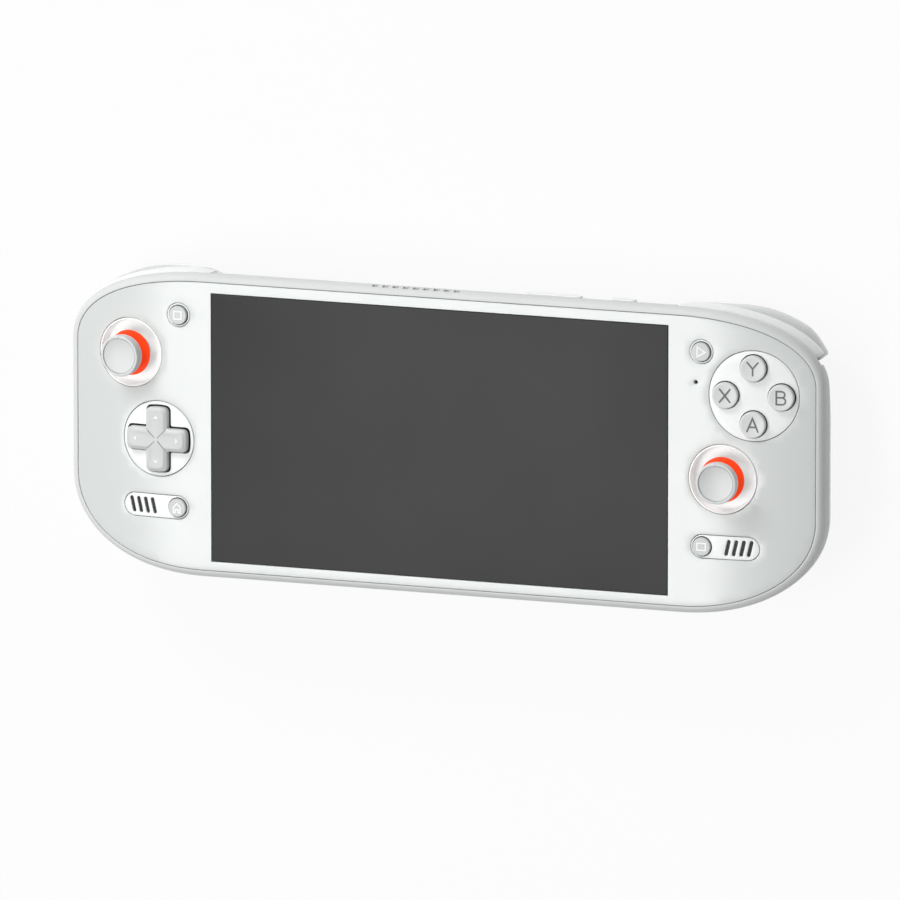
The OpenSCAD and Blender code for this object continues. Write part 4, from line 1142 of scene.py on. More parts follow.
@dataclass
class Casing:
    """Face plate, rim, back cover and the cover's screws."""

    ring_r: float = 3.4
    ring_line: float = 0.16
    ring_edge: float = 0.08
    ring_pitch: float = 5.0
    mic: Pair = (74.45, 22.3)
    mic_r: float = 0.55
    mic_gauze: tuple[float, float, float, float] = (0.8, -1.6, -1.3, 0.05)
    part_depth: float = 10.5
    rim_start: tuple[Pair, ...] = ((0.0, 0.22), (0.03, 0.08))
    rim_arc: tuple[float, float, int] = (4.0, 90.0, 14)
    strip: float = 3.4
    strip_steps: int = 4
    wall_steps: int = 8
    recess: Pair = (1.9, 0.95)
    shelf: Pair = (8.6, 0.9)
    frame_inner: float = 2.4
    seat_gap: float = 0.05
    wall: float = 1.5
    wall_foot: float = 0.55
    well_inset: float = 10.6
    well_power: int = 4
    edge_steps: int = 13
    edge_ease: float = 1.7
    outer_flat: tuple[float, float, int] = (0.92, 0.06, 12)
    inner_edge: tuple[float, ...] = (0.0, 0.06, 0.16, 0.5, 1.0)
    inner_flat: tuple[float, ...] = (0.36, 0.72, 0.92)
    fan: Pair = (-8.0, 4.0)
    fan_r: float = 16.0
    slots: int = 9
    slot_w: float = 1.6
    slot_pitch: float = 3.4
    slot_cut: float = 3.0
    screws: tuple[Pair, ...] = ((59.0, 24.5), (48.5, -24.4), (-59.0, 24.5), (-48.5, -24.4))
    screw_r: float = 1.9
    screw_head: float = 1.2
    screw_dome: float = 0.25
    screw_sunk: float = 0.15
    screw_gap: float = 0.1
    shank: Pair = (1.0, 5.5)
    hole_r: float = 1.1
    seat_cut: Pair = (-14.0, 6.0)
    cross: tuple[float, float, float] = (1.9, 0.42, 1.4)
    cross_turns: Pair = (20.0, 110.0)
    boss_r: float = 3.2
    boss_end: float = 2.5
    seat_turn: int = 48
    screw_turn: int = 40

    def build(self) -> None:
        """Build and dress all pieces of the casing."""
        self.face_plate()
        self.frame()
        self.cover()
        self.fasteners()

    def face_plate(self) -> None:
        """Build the face plate, the rings round the menu buttons and the microphone's gauze."""
        s = BODY.outline()
        holes = [rectangle(*(v / 2 + SEAM for v in SCREEN))]
        holes += [circle(FACE.spot(*place), WELL_R) for place in STICKS.values()]
        holes += [circle(DPAD_SPOT, DPAD_DISC_R), circle(DISC_SPOT, FACE_DISC_R, DISC_TURN)]
        for side in Side:
            holes.append(circle(FACE.on(side, MENU), self.ring_r, KEY_TURN))
            holes.append(on_spot(pill_line(*PILL_SIZE), FACE.on(side, PILL)))
        mic = FACE.spot(*self.mic)
        holes.append(circle(mic, self.mic_r, PIN_TURN))
        front = plate(np.column_stack([s.x, s.y]), holes, PLATE_T)
        front.piece("face_plate_form", "console", SHELL, "face_plate")
        for side in Side:
            spot = FACE.on(side, MENU)
            outer = circle(spot, self.ring_r - self.ring_line, KEY_TURN)
            inner = circle(spot, MENU_R + KEY_GAP, KEY_TURN)
            ring = plate(outer, [inner], PLATE_T, self.ring_edge, self.ring_pitch)
            ring.piece(f"{side.word}_menu_ring", "console", INSERT)
        gauze = lathe(puck(*self.mic_gauze), mic, segments=PIN_TURN)
        gauze.piece("microphone_gauze", "console", BLACK)

    def frame(self) -> None:
        """Build the rim and side walls, with vents, button slots and ports."""
        s = BODY.outline()
        z, crest = FACE.height(s.x), BODY.crest(s)
        recessed = (s.recess == 1)[:, None]
        inner = np.where(s.recess > 0, sum(self.recess), self.frame_inner)
        shelf = np.where(s.recess > 0, self.shelf[0], self.frame_inner)
        low = -self.part_depth
        lip = BODY.rim_out - SEAM
        rows = [s.out(SEAM + out, z - drop) for out, drop in self.rim_start]
        for a in np.radians(np.linspace(*self.rim_arc)):
            rows.append(s.out(SEAM + lip * math.sin(a), z - BODY.rim_drop * (1 - math.cos(a))))
        last, bend = self.wall_steps, self.strip_steps
        for i in range(1, last + 1):
            w = crest + (low - crest) * i / last
            plain = BODY.level(s, BODY.edge_at(s, w), w)
            if i <= bend:
                cut = s.out(lip - (lip + self.recess[0]) * (i - 1) / (bend - 1), z - self.strip)
            else:
                fall = (low - z + self.strip) * (i - bend) / (last - bend)
                cut = s.out(-self.recess[0], z - self.strip + fall)
            rows.append(np.where(recessed, cut, plain))
        rows += [
            s.out(-shelf, low),
            s.out(-shelf, low + self.shelf[1] / 2),
            s.out(-inner, low + self.shelf[1]),
            s.out(-inner, FACE.height(s.x - s.nx * inner) - PLATE_T - self.seat_gap),
            s.out(SEAM, FACE.height(s.x + s.nx * SEAM) - PLATE_T - self.seat_gap),
        ]
        piece = loft(np.array(rows).transpose(1, 0, 2), ring=True).solid("mid_frame_form")
        tool = TopEdge().openings().add(BottomEdge().openings())
        fit(carve(piece, tool), "console", RIM, "mid_frame")

    def cover(self) -> None:
        """Build the back cover, with its intake slots and screw seats."""
        piece = loft(np.array(self.cover_loops())).solid("back_cover_form")
        tool, bosses = Form(), Form()
        for i in range(self.slots):
            x = (i - (self.slots - 1) / 2) * self.slot_pitch
            run = 2 * math.sqrt(self.fan_r**2 - x * x)
            spot = Matrix.Translation((self.fan[0] + x, self.fan[1], -BODY.thickness))
            tool.add(bar(pill_line(run, self.slot_w, 90), spot, -self.slot_cut, self.slot_cut))
        for x, y in self.screws:
            spot = Matrix.Translation((x, y, -BODY.thickness))
            tool.add(lathe(self.seat(), spot, segments=self.seat_turn))
            bosses.add(lathe(self.boss(), spot, segments=self.seat_turn))
        fit(carve(piece, tool), "console", SHELL, "back_cover")
        bosses.piece("screw_bosses", "console", SHELL)

    def cover_loops(self) -> list[Array]:
        """Give the cover's loops, from the outside's middle over the edge to the inside's middle.

        Returns:
            Loops of rows in the console's frame.
        """
        s = BODY.outline()
        top = -self.part_depth - SEAM
        loops = [BODY.middle(s, g, 0.0) for g in np.linspace(*self.outer_flat)]

        def section(recessed: Array, w: float) -> tuple[Array, Array]:
            """Give the inset and the height at a share of the way from the seam to the back."""
            start = np.where(recessed, self.well_inset, BODY.edge_at(s, top))
            e = start + (BODY.edge_w - start) * w
            drop = top + (BODY.back(s) - top) * math.sqrt(1 - (1 - w) ** self.well_power)
            return e, np.where(recessed, drop, BODY.edge_z(s, e))

        for w in (np.linspace(0, 1, self.edge_steps) ** self.edge_ease)[::-1]:
            loops.append(BODY.level(s, *section(s.recess == 1, w)))
        for w in self.inner_edge:
            e, z = section(s.recess > 0, w)
            z = z + self.wall * min(1.0, self.wall_foot + w)
            z = np.minimum(top, z) if w else top
            loops.append(BODY.level(s, e + self.wall * (1 - w), z))
        return loops + [BODY.middle(s, g, self.wall) for g in self.inner_flat]

    def seat(self) -> Array:
        """Give the profile of a screw's seat, which is cut out of the cover."""
        head, hole = self.screw_r + self.screw_gap, self.hole_r
        floor = self.screw_sunk + self.screw_head + self.screw_gap
        low, high = self.seat_cut
        return np.array(
            [(0, low), (head, low), (head, floor), (hole, floor), (hole, high), (0, high)]
        )

    def boss(self) -> Array:
        """Give the profile of the boss behind a screw's seat."""
        r, hole, end = self.boss_r, self.hole_r, self.boss_end
        floor = self.screw_sunk + self.screw_head + self.screw_gap
        corners = [(hole, floor, 0), (r, floor, 0), (r, end, 0.2), (hole, end, 0.1)]
        return rounded(corners, closed=True)

    def fasteners(self) -> None:
        """Build the four screws, with domed heads and cross recesses."""
        over = Matrix.Rotation(math.pi, 4, "X")
        back = self.screw_sunk - BODY.thickness
        spots = [Matrix.Translation((x, y, back)) @ over for x, y in self.screws]
        under, r = -self.screw_head, self.shank[0]
        end = self.screw_sunk - self.shank[1]
        profile = rounded(
            [
                (0, 0, 0),
                (self.screw_r, -self.screw_dome, 0.4),
                (self.screw_r, under, 0.1),
                (r, under, 0.05),
                (r, end, 0.2),
                (0, end, 0),
            ]
        )
        form = Form()
        for spot in spots:
            form.add(lathe(profile, spot, segments=self.screw_turn))
        piece = form.solid("back_screws_form")
        for turn in self.cross_turns:
            cross = Form()
            for spot in spots:
                cross.add(box(self.cross, spot @ about_z(turn)))
            carve(piece, cross)
        fit(piece, "console", STEEL, "back_screws")


@dataclass
class Screen:
    """Glass over the dark display."""

    corner: float = 0.3
    edge: float = 0.12

    def build(self) -> None:
        """Build the glass with ground edges."""
        line = soft_rectangle(*(v / 2 for v in SCREEN), self.corner)
        glass = bar(line, Matrix.Identity(4), -PLATE_T, 0.0, self.edge)
        glass.piece("display_glass_form", "console", GLASS, "display_glass")


@dataclass
class ThumbStick:
    """A stick: its well, boot, collar and cap."""

    side: Side
    well: float = 3.4
    well_t: float = 0.8
    well_sharp: float = 40.0
    lip: float = 0.42
    lip_edges: Pair = (0.12, 0.14)
    lip_end: Pair = (-1.0, -1.1)
    fillet: float = 0.9
    fillet_steps: int = 8
    hole_r: float = 4.3
    hole_edge: float = 0.25
    pivot: float = 7.4
    boot_r: float = 3.6
    boot_turns: tuple[float, float, int] = (1.06, 0.5, 10)
    neck_r: float = 2.4
    neck: Pair = (0.25, -0.15)
    rod: Pair = (1.55, -9.95)
    collar: tuple[Corner, ...] = (
        (0.0, 0.08, 0.0), (6.2, 0.08, 0.05), (6.3, 0.18, 0.05), (6.3, 0.42, 0.3), (4.2, 0.75, 0.5),
        (0.0, 0.75, 0.0),
    )
    collar_seat: tuple[Corner, ...] = (
        (0.0, -0.1, 0.0), (5.95, -0.1, 0.15), (6.18, 0.06, 0.05), (0.0, 0.06, 0.0),
    )
    cap_r: float = 5.75
    cap_top: float = 6.62
    cap_side: tuple[Corner, ...] = (
        (0.0, 0.8, 0.0), (3.4, 0.8, 0.05), (3.4, 1.9, 0.3), (4.85, 2.4, 0.9), (5.75, 3.8, 1.2),
    )
    cap_edges: tuple[float, float, float, float] = (0.5, 0.12, 0.08, 0.1)
    rim: float = 0.75
    step: float = 0.25
    groove: Pair = (0.24, 0.35)
    dish: float = 0.95
    dish_steps: int = 14
    tick: tuple[float, float, float] = (0.2, 0.75, 0.24)
    tick_in: float = 0.45

    def build(self) -> None:
        """Build and dress the stick's pieces."""
        spot = FACE.spot(*STICKS[self.side])
        word, body = self.side.word, f"{self.side.word}_stick"
        profile = self.well_profile()
        well = lathe(profile, spot, profile[:, 1] > self.lip_end[0] / 2)
        piece = well.solid(f"{word}_stick_well", self.well_sharp)
        # The well's finish glows: painted light in the caps' shade.
        fit(piece, "console", WELL, f"{word}_stick_socket")
        boot = lathe(self.boot_profile(), spot)
        boot.piece(f"{word}_stick_boot", body, STEM, f"{word}_stick_shaft")
        # The collar's finish glows: painted light in the cap's shade.
        collar = lathe(rounded(self.collar), spot)
        collar.piece(f"{word}_stick_collar_form", body, COLLAR, f"{word}_stick_collar")
        seat = lathe(rounded(self.collar_seat), spot)
        seat.piece(f"{word}_stick_collar_seat", body, STEM)
        cap = lathe(self.cap_profile(), spot).solid(f"{word}_stick_cap_form")
        place = Matrix.Translation((0, self.cap_r - self.tick_in, self.cap_top))
        for turn in range(4):
            carve(cap, box(self.tick, spot @ about_z(90 * turn) @ place))
        fit(cap, body, CAP, f"{word}_stick_cap")

    def well_profile(self) -> Array:
        """Give the profile of the well, with a thin lip in the face and a filleted floor."""
        r, hole, floor = WELL_R - INSERT_GAP, self.hole_r, -self.well
        inner, bottom = r - self.lip, floor - self.well_t
        upper, lower = self.lip_end
        out_edge, in_edge = self.lip_edges
        lip = [(r, bottom, 0), (r, 0.0, out_edge), (inner, 0.0, in_edge), (inner, upper, 0)]
        dip = [(inner, lower, 0), (inner, floor, self.fillet)]
        dip += [(hole, floor, self.hole_edge), (hole, bottom, 0)]
        return np.vstack([rounded(lip), rounded(dip, self.fillet_steps)])

    def boot_profile(self) -> Array:
        """Give the profile of the rod, the boot's dome over the pivot and the neck."""
        turns = np.linspace(*self.boot_turns)
        dome = [(self.boot_r * math.sin(t), self.boot_r * math.cos(t) - self.pivot) for t in turns]
        foot, top = self.neck
        rod = [(0.0, self.rod[1]), self.rod, (self.rod[0], dome[0][1])]
        neck = [(self.neck_r, dome[-1][1] + foot), (self.neck_r, top), (0.0, top)]
        return np.array([*rod, *dome, *neck])

    def cap_profile(self) -> Array:
        """Give the profile of the cap, with its dished top and a groove round the dish."""
        top, floor = self.cap_top, self.cap_top - self.step
        edge_r = self.cap_r - self.rim
        dish_r, deep = edge_r - self.groove[0], floor - self.groove[1]
        ball = (dish_r**2 + self.dish**2) / (2 * self.dish)
        low = floor - self.dish + ball
        steps = np.linspace(dish_r, 0, self.dish_steps)
        hollow = [(q, low - math.sqrt(ball**2 - q * q)) for q in steps]
        outer, lip, foot, brim = self.cap_edges
        crown = [(self.cap_r, top, outer), (edge_r, top, lip), (edge_r, deep, foot)]
        crown += [(dish_r, deep, foot), (*hollow[0], brim), (*hollow[1], 0)]
        side = rounded([*self.cap_side, *crown], FINE_ARC)
        return np.vstack([side[:-1], hollow[1:]])


@dataclass
class DirectionPad:
    """The direction pad and its disc."""

    span: float = 18.3
    arm: float = 6.4
    height: float = 1.9
    gap: float = 0.42
    bow: float = 0.35
    reaches: tuple[float, float, float] = (0.5, 1.4, 2.6)
    low: float = -3.5
    flange_r: float = 6.6
    flange_t: float = 0.5
    flange_edge: float = 0.1
    bevel: Pair = (1.0, 0.6)
    bevel_reaches: Pair = (0.3, 0.25)
    brim: float = 0.3
    dish: float = 0.22
    dish_shares: tuple[float, ...] = (0.85, 0.65, 0.45, 0.25, 0.08)
    gap_shadow_low: float = -3.3
    line: tuple[float, float, float] = (4.0, 0.28, 1.1)
    line_x: float = 2.65
    arrow: tuple[Corner, ...] = ((-0.4, -0.85, 0.12), (0.5, 0.0, 0.12), (-0.4, 0.85, 0.12))
    arrow_x: float = 6.2
    arrow_z: Pair = (0.6, 0.03)
    arrow_edge: float = 0.04

    def outline(self, grow: float) -> Array:
        """Give the cross's outline.

        Args:
            grow: How far the outline stands outside the pad.

        Returns:
            Rows of x and y.
        """
        tip, half = self.span / 2 + grow, self.arm / 2 + grow
        nook, outer, end = self.reaches
        arm = [(half, -half, nook), (tip - self.bow, -half, outer)]
        arm += [(tip, 0.0, end), (tip - self.bow, half, outer)]
        corners = []
        for c, s in ((1, 0), (0, 1), (-1, 0), (0, -1)):
            corners += [(x * c - y * s, x * s + y * c, r) for x, y, r in arm]
        return rounded(corners, closed=True)

    def build(self) -> None:
        """Build and dress the disc, the pad and the pad's arrows."""
        edge = circle(DPAD_SPOT, DPAD_DISC_R - INSERT_GAP)
        hole = on_spot(self.outline(self.gap), DPAD_SPOT)
        disc = plate(edge, [hole], INSERT_T, pitch=INSERT_PITCH)
        disc.piece("dpad_disc_form", "console", INSERT, "dpad_disc")
        piece = self.pad().solid("dpad_form")
        place = Matrix.Translation((self.line_x, 0, self.height))
        for turn in range(4):
            carve(piece, box(self.line, DPAD_SPOT @ about_z(45 + 90 * turn) @ place))
        # A black band round the pad's foot: painted shadow in the gap round it.
        levels = [(GAP_SHADOW_OUT, self.gap_shadow_low), (GAP_SHADOW_OUT, GAP_SHADOW_TOP)]
        levels += [(-GAP_SHADOW_IN, GAP_SHADOW_TOP), (-GAP_SHADOW_IN, self.gap_shadow_low)]
        band = [moved(raised(self.outline(grow), z), DPAD_SPOT) for grow, z in levels]
        loft(np.array(band), ring=True).piece("dpad_skirt", "dpad", BLACK)
        fit(piece, "dpad", KEY, "dpad")
        flange = puck(self.flange_r, self.low - self.flange_t, self.low, self.flange_edge)
        lathe(flange, DPAD_SPOT).piece("dpad_flange", "dpad", KEY)
        line = rounded(self.arrow, 3, closed=True)
        low, high = (self.height - drop for drop in self.arrow_z)
        place = Matrix.Translation((self.arrow_x, 0, 0))
        arrows = Form()
        for turn in range(4):
            spot = DPAD_SPOT @ about_z(90 * turn) @ place
            arrows.add(bar(line, spot, low, high, self.arrow_edge))
        arrows.piece("dpad_arrows", "dpad", WHITE_INK)

    def pad(self) -> Form:
        """Give the pad, with bevelled arms and a shallow dish in the middle.

        Returns:
            The solid.
        """
        inset, drop = self.bevel
        knee, crest = self.bevel_reaches
        side = [(0, self.low, 0), (0, self.height - drop, knee), (inset, self.height, crest)]
        side.append((inset + self.brim, self.height, 0))
        loops = [raised(self.outline(-e), z) for e, z in rounded(side)]
        rim = self.outline(-inset - self.brim)
        for share in self.dish_shares:
            loops.append(raised(rim * share, self.height - self.dish * math.sqrt(1 - share)))
        return loft(np.array([moved(loop, DPAD_SPOT) for loop in loops]))


def key_gap_shadow(radius: float, low: float, spot: Matrix) -> Form:
    """Give the black band round a key's foot, a painted shadow that darkens the gap beside it.

    Args:
        radius: Radius of the key.
        low: Height of the band's lower end.
        spot: Placement of the key.

    Returns:
        The band.
    """
    out, back = radius + GAP_SHADOW_OUT, radius - GAP_SHADOW_IN
    profile = np.array([(out, low), (out, GAP_SHADOW_TOP), (back, GAP_SHADOW_TOP), (back, low)])
    return lathe(profile, spot, [False, True, True, False], GAP_SHADOW_TURN)


@dataclass
class FaceButtons:
    """The four face buttons and their disc."""

    radius: float = 3.6
    ring: float = 7.75
    turns: Mapping[str, float] = field(
        default_factory=lambda: {"a": -math.pi / 2, "b": 0.0, "x": math.pi, "y": math.pi / 2}
    )
    hole_turn: int = 80
    foot: tuple[Corner, ...] = (
        (0.0, -3.85, 0.0), (4.4, -3.85, 0.1), (4.4, -3.3, 0.1), (3.6, -3.3, 0.05),
    )
    gap_shadow_low: float = -3.2
    height: float = 1.4
    round: float = 0.5
    dish: float = 0.2
    dish_r: float = 2.95
    dish_steps: int = 10
    brim: float = 0.2
    ball: float = 22.0

    def build(self) -> None:
        """Build and dress the disc, the buttons and their letters."""
        spots = {}
        for key, a in self.turns.items():
            place = (self.ring * math.cos(a), self.ring * math.sin(a), 0)
            spots[key] = DISC_SPOT @ Matrix.Translation(place)
        holes = [circle(spot, self.radius + KEY_GAP, self.hole_turn) for spot in spots.values()]
        edge = circle(DISC_SPOT, FACE_DISC_R - INSERT_GAP, DISC_TURN)
        disc = plate(edge, holes, INSERT_T, pitch=INSERT_PITCH)
        disc.piece("abxy_disc_form", "console", INSERT, "abxy_disc")
        for key, spot in spots.items():
            node = f"button_{key}"
            away = (spot.translation - DISC_SPOT.translation).xz.length_squared
            top = self.height - away / (2 * FACE.wing_radius)
            lathe(self.profile(top), spot).piece(f"{node}_form", node, FACE_KEY, node)
            # A black band round the button's foot: painted shadow in the gap.
            key_gap_shadow(self.radius, self.gap_shadow_low, spot).piece(f"{node}_skirt", node, BLACK)
            letter = LETTERS[key].form(spot, top - self.dish, self.ball)
            letter.piece(f"{node}_letter", node, INK)

    def profile(self, top: float) -> Array:
        """Give the profile of a button with a dished top.

        Args:
            top: Height of the rim.

        Returns:
            Rows of radius and height.
        """
        steps = np.linspace(self.dish_r, 0, self.dish_steps)
        hollow = [(q, top - self.dish + q * q / (2 * self.ball)) for q in steps]
        crown = [(self.radius, top, self.round), (*hollow[0], self.brim), (*hollow[1], 0)]
        side = rounded([*self.foot, *crown], FINE_ARC)
        return np.vstack([side[:-1], hollow[1:]])


@dataclass
class SmallControls:
    """Menu buttons, and the pill inserts with their buttons and speaker slots."""

    top: float = 0.75
    round: float = 0.3
    flange: Pair = (-2.4, -1.8)
    flange_out: float = 0.4
    flange_edge: float = 0.05
    gap_shadow_low: float = -1.7
    key_turn: int = GAP_SHADOW_TURN
    gauze: Pair = (-1.2, -0.5)
    slots: int = 4
    slot_x: float = 83.6
    slot_pitch: float = 2.1
    slot_size: Pair = (4.6, 1.05)
    slot_steps: tuple[int, int] = (12, 4)
    lean: float = 13.0
    edge: float = 0.1
    pitch: float = 1.2

    def build(self) -> None:
        """Build and dress the pieces on both sides."""
        keys = {
            "select_button": (Side.LEFT, MENU, MENU_R, SQUARE),
            "start_button": (Side.RIGHT, MENU, MENU_R, TRIANGLE),
            "home_button": (Side.LEFT, PILL_BUTTON, PILL_BUTTON_R, HOUSE),
            "return_button": (Side.RIGHT, PILL_BUTTON, PILL_BUTTON_R, WINDOW),
        }
        for node, (side, place, radius, mark) in keys.items():
            spot = FACE.on(side, place)
            key = lathe(self.profile(radius), spot, segments=self.key_turn)
            key.piece(f"{node}_form", node, PALE_KEY, node)
            # A black band round the key's foot: painted shadow in the gap.
            key_gap_shadow(radius, self.gap_shadow_low, spot).piece(f"{node}_skirt", node, BLACK)
            mark.form(spot, self.top).piece(f"{node}_sign", node, WHITE_INK)
        for side in Side:
            self.insert(side)

    def profile(self, radius: float) -> Array:
        """Give the profile of a small key.

        Args:
            radius: Radius of the key.

        Returns:
            Rows of radius and height.
        """
        low, high = self.flange
        out, edge = radius + self.flange_out, self.flange_edge
        corners = [(0, low, 0), (out, low, edge), (out, high, edge), (radius, high, edge)]
        corners += [(radius, self.top, self.round), (0, self.top, 0)]
        return rounded(corners, FINE_ARC)

    def insert(self, side: Side) -> None:
        """Build a pill insert.

        Args:
            side: Side of the console.
        """
        line = pill_line(*(v - 2 * INSERT_GAP for v in PILL_SIZE))
        holes = [circle(FACE.on(side, PILL_BUTTON), PILL_BUTTON_R + KEY_GAP, KEY_TURN)]
        turn = 90 - side.value * self.lean
        gauze = Form()
        for i in range(self.slots):
            place = FACE.on(side, (self.slot_x + i * self.slot_pitch, PILL[1]))
            holes.append(on_spot(pill_line(*self.slot_size, turn, *self.slot_steps), place))
            cloth = pill_line(*(v - SEAM for v in self.slot_size), turn, *self.slot_steps)
            gauze.add(bar(cloth, place, *self.gauze))
        pill = plate(on_spot(line, FACE.on(side, PILL)), holes, INSERT_T, self.edge, self.pitch)
        pill.piece(f"{side.word}_pill_form", "console", INSERT, f"{side.word}_pill")
        gauze.piece(f"{side.word}_speaker_gauze", "console", BLACK)


@dataclass
class Shoulders:
    """Bumpers and triggers."""

    stations: int = 60
    end_round: float = 1.1
    end_share: float = 0.45
    bumper_first: float = 21.0
    bumper_gap: float = 0.5
    bumper_out: float = 2.95
    bumper_swell: float = 8.0
    bumper_top: float = 3.75
    bumper_depth: float = 5.25
    bumper_ends: float = 0.2
    trigger_first: float = 19.5
    trigger_gap: float = 3.0
    trigger_in: float = 1.2
    trigger_out: float = 3.1
    trigger_clear: float = 2.4
    trigger_rise: Pair = (72.0, 92.0)
    trigger_fall: Pair = (1.6, 9.0)
    trigger_sink: Pair = (2.0, 6.0)
    trigger_dip: float = 0.6
    trigger_tip: float = 23.0
    trigger_drop: float = 0.5
    trigger_steps: int = 26
    trigger_outer: tuple[Pair, ...] = (
        (0.0, -1.4), (0.1, -0.4), (0.28, 0.0), (0.55, -0.25), (0.76, -1.3), (0.91, -3.0),
        (1.0, -4.6),
    )
    trigger_inner: tuple[Pair, ...] = (
        (0.0, -2.7), (0.28, -2.1), (0.55, -2.35), (0.8, -3.9), (0.965, -5.8),
    )

    def build(self) -> None:
        """Build and dress both sides."""
        for side in Side:
            for name, loops, finish in (
                ("bumper", self.bumper(), INSERT),
                ("trigger", self.trigger(), SHELL),
            ):
                node = f"{side.word}_{name}"
                form = loft(loops * np.array([side.value, 1, 1]))
                form.piece(f"{node}_form", node, finish, node)

    @staticmethod
    def run(s: Stations) -> Array:
        """Give each station's distance along the shoulder from its outer end."""
        return np.concatenate([[0], np.cumsum(np.hypot(np.diff(s.x), np.diff(s.y)))])

    def taper(self, s: Stations) -> Array:
        """Give the share of full thickness at each station, rounded off at both ends."""
        run = self.run(s)
        near = np.clip(np.minimum(run, run[-1] - run) / self.end_round, 0, 1)
        return self.end_share + (1 - self.end_share) * np.sqrt(1 - (1 - near) ** 2)

    def section(self, reach: float) -> Array:
        """Give a bumper's section: a flat top, a swelling front and a flat underside.

        Args:
            reach: How far the front stands outside the outline.

        Returns:
            Rows of distance out and height.
        """
        rim, top = BODY.rim_out, -self.bumper_top
        low = self.bumper_top + self.bumper_depth
        corners = [
            (0.0, top, 0.4),
            (rim - 0.1, top, 0.6),
            (rim + 0.55 * (reach - rim), top - 1, 0.5),
            (reach, top - 2.6, 0.6),
            (reach - 0.1, -low + 0.7, 0.35),
            (reach - 0.5, -low, 0.3),
            (0.0, -low, 0.4),
        ]
        return rounded(corners, 4, closed=True)

    def bumper(self) -> Array:
        """Give the loops of the right bumper.

        Returns:
            Loops by points by x, y and z.
        """
        s = BODY.shoulder(self.bumper_first, BODY.bumper_start + self.bumper_gap, self.stations)
        swell = smooth((s.x - BODY.bumper_start) / self.bumper_swell)
        reach = BODY.rim_out + (self.bumper_out - BODY.rim_out) * swell
        loops = np.array([self.section(r) for r in reach])
        middle = loops.mean(axis=1, keepdims=True)
        loops = middle + (loops - middle) * self.taper(s)[:, None, None] ** self.bumper_ends
        z = FACE.height(s.x)
        rows = [s.out(loops[:, k, 0], z + loops[:, k, 1]) for k in range(loops.shape[1])]
        return np.stack(rows, axis=1)

    def trigger(self) -> Array:
        """Give the loops of the right trigger, whose ends are drawn in.

        Returns:
            Loops by points by x, y and z.
        """
        s = BODY.shoulder(self.trigger_first, BODY.bumper_start + self.trigger_gap, self.stations)
        first, last = self.trigger_rise
        swell = smooth((s.x - first) / (last - first))
        reach = self.trigger_in + (self.trigger_out - self.trigger_in) * swell
        run, thick = self.run(s), self.taper(s)
        sink = self.trigger_sink[0] * smooth(1 - (run[-1] - run) / self.trigger_sink[1])
        fall = self.trigger_fall[0] * smooth(1 - run / self.trigger_fall[1]) + sink
        high = FACE.height(s.x) - self.bumper_top - self.bumper_depth - self.trigger_drop
        high = high - self.trigger_dip * sink
        lining = np.maximum(reach, self.trigger_clear) - fall
        reach = reach - fall
        half = (reach + lining) / 2
        outer = through(self.trigger_outer, self.trigger_steps)
        inner = through(self.trigger_inner, self.trigger_steps)
        middle = (outer + inner) / 2
        rows = []
        for curve, core, skin in ((outer, middle, reach), (inner[::-1], middle[::-1], lining)):
            for (curve_z, curve_out), (core_z, core_out) in zip(curve, core):
                across = half + core_out + (skin - half + curve_out - core_out) * thick
                down = core_z + (curve_z - core_z) * thick
                rows.append(s.out(across, high + (-self.trigger_tip - high) * down))
        return np.stack(rows, axis=1)


@dataclass
class TopEdge:
    """Volume rocker, power button, pinhole and vents in the top edge."""

    volume: Pair = (31.95, 15.9)
    power: Pair = (51.7, 7.8)
    pinhole_x: float = 43.86
    pinhole_r: float = 0.45
    pinhole_turn: int = 24
    width: float = 2.4
    z: float = -5.2
    inner: float = 37.3
    proud: float = 0.35
    edge: float = 0.35
    vent_x: float = -7.2
    vents: int = 9
    vent_pitch: float = 2.97
    vent_size: Pair = (1.8, 1.5)
    vent_corner: float = 0.35
    vent_steps: int = 4
    vent_z: float = -2.1

    @staticmethod
    def spot(x: float, y: float, z: float) -> Matrix:
        """Give a placement with Z out of the top edge and X to the right."""
        return Matrix.Translation((x, y, z)) @ Matrix.Rotation(-math.pi / 2, 4, "X")

    def openings(self) -> Form:
        """Give the forms that are cut out of the frame.

        Returns:
            All of them in one form.
        """
        cuts: list[tuple[Array, float, float]] = []
        for (x, length), gap in ((self.volume, KEY_GAP + SEAM), (self.power, KEY_GAP)):
            cuts.append((pill_line(length + 2 * gap, self.width + 2 * gap), x, self.z))
        vent = soft_rectangle(*(v / 2 for v in self.vent_size), self.vent_corner, self.vent_steps)
        for i in range(self.vents):
            x = self.vent_x + (i - (self.vents - 1) / 2) * self.vent_pitch
            cuts.append((vent, x, self.vent_z))
        hole = circle(Matrix.Identity(4), self.pinhole_r, self.pinhole_turn)
        cuts.append((hole, self.pinhole_x, self.z))
        form = Form()
        for line, x, z in cuts:
            form.add(bar(line, self.spot(x, BODY.top, z), -CUT, CUT))
        return form

    def build(self) -> None:
        """Build and dress the two buttons."""
        high = BODY.top + BODY.rim_out + self.proud - self.inner
        for node, (x, length) in (("volume_rocker", self.volume), ("power_button", self.power)):
            spot = self.spot(x, self.inner, self.z)
            key = bar(pill_line(length, self.width), spot, 0.0, high, self.edge)
            key.piece(f"{node}_form", node, INSERT, node)


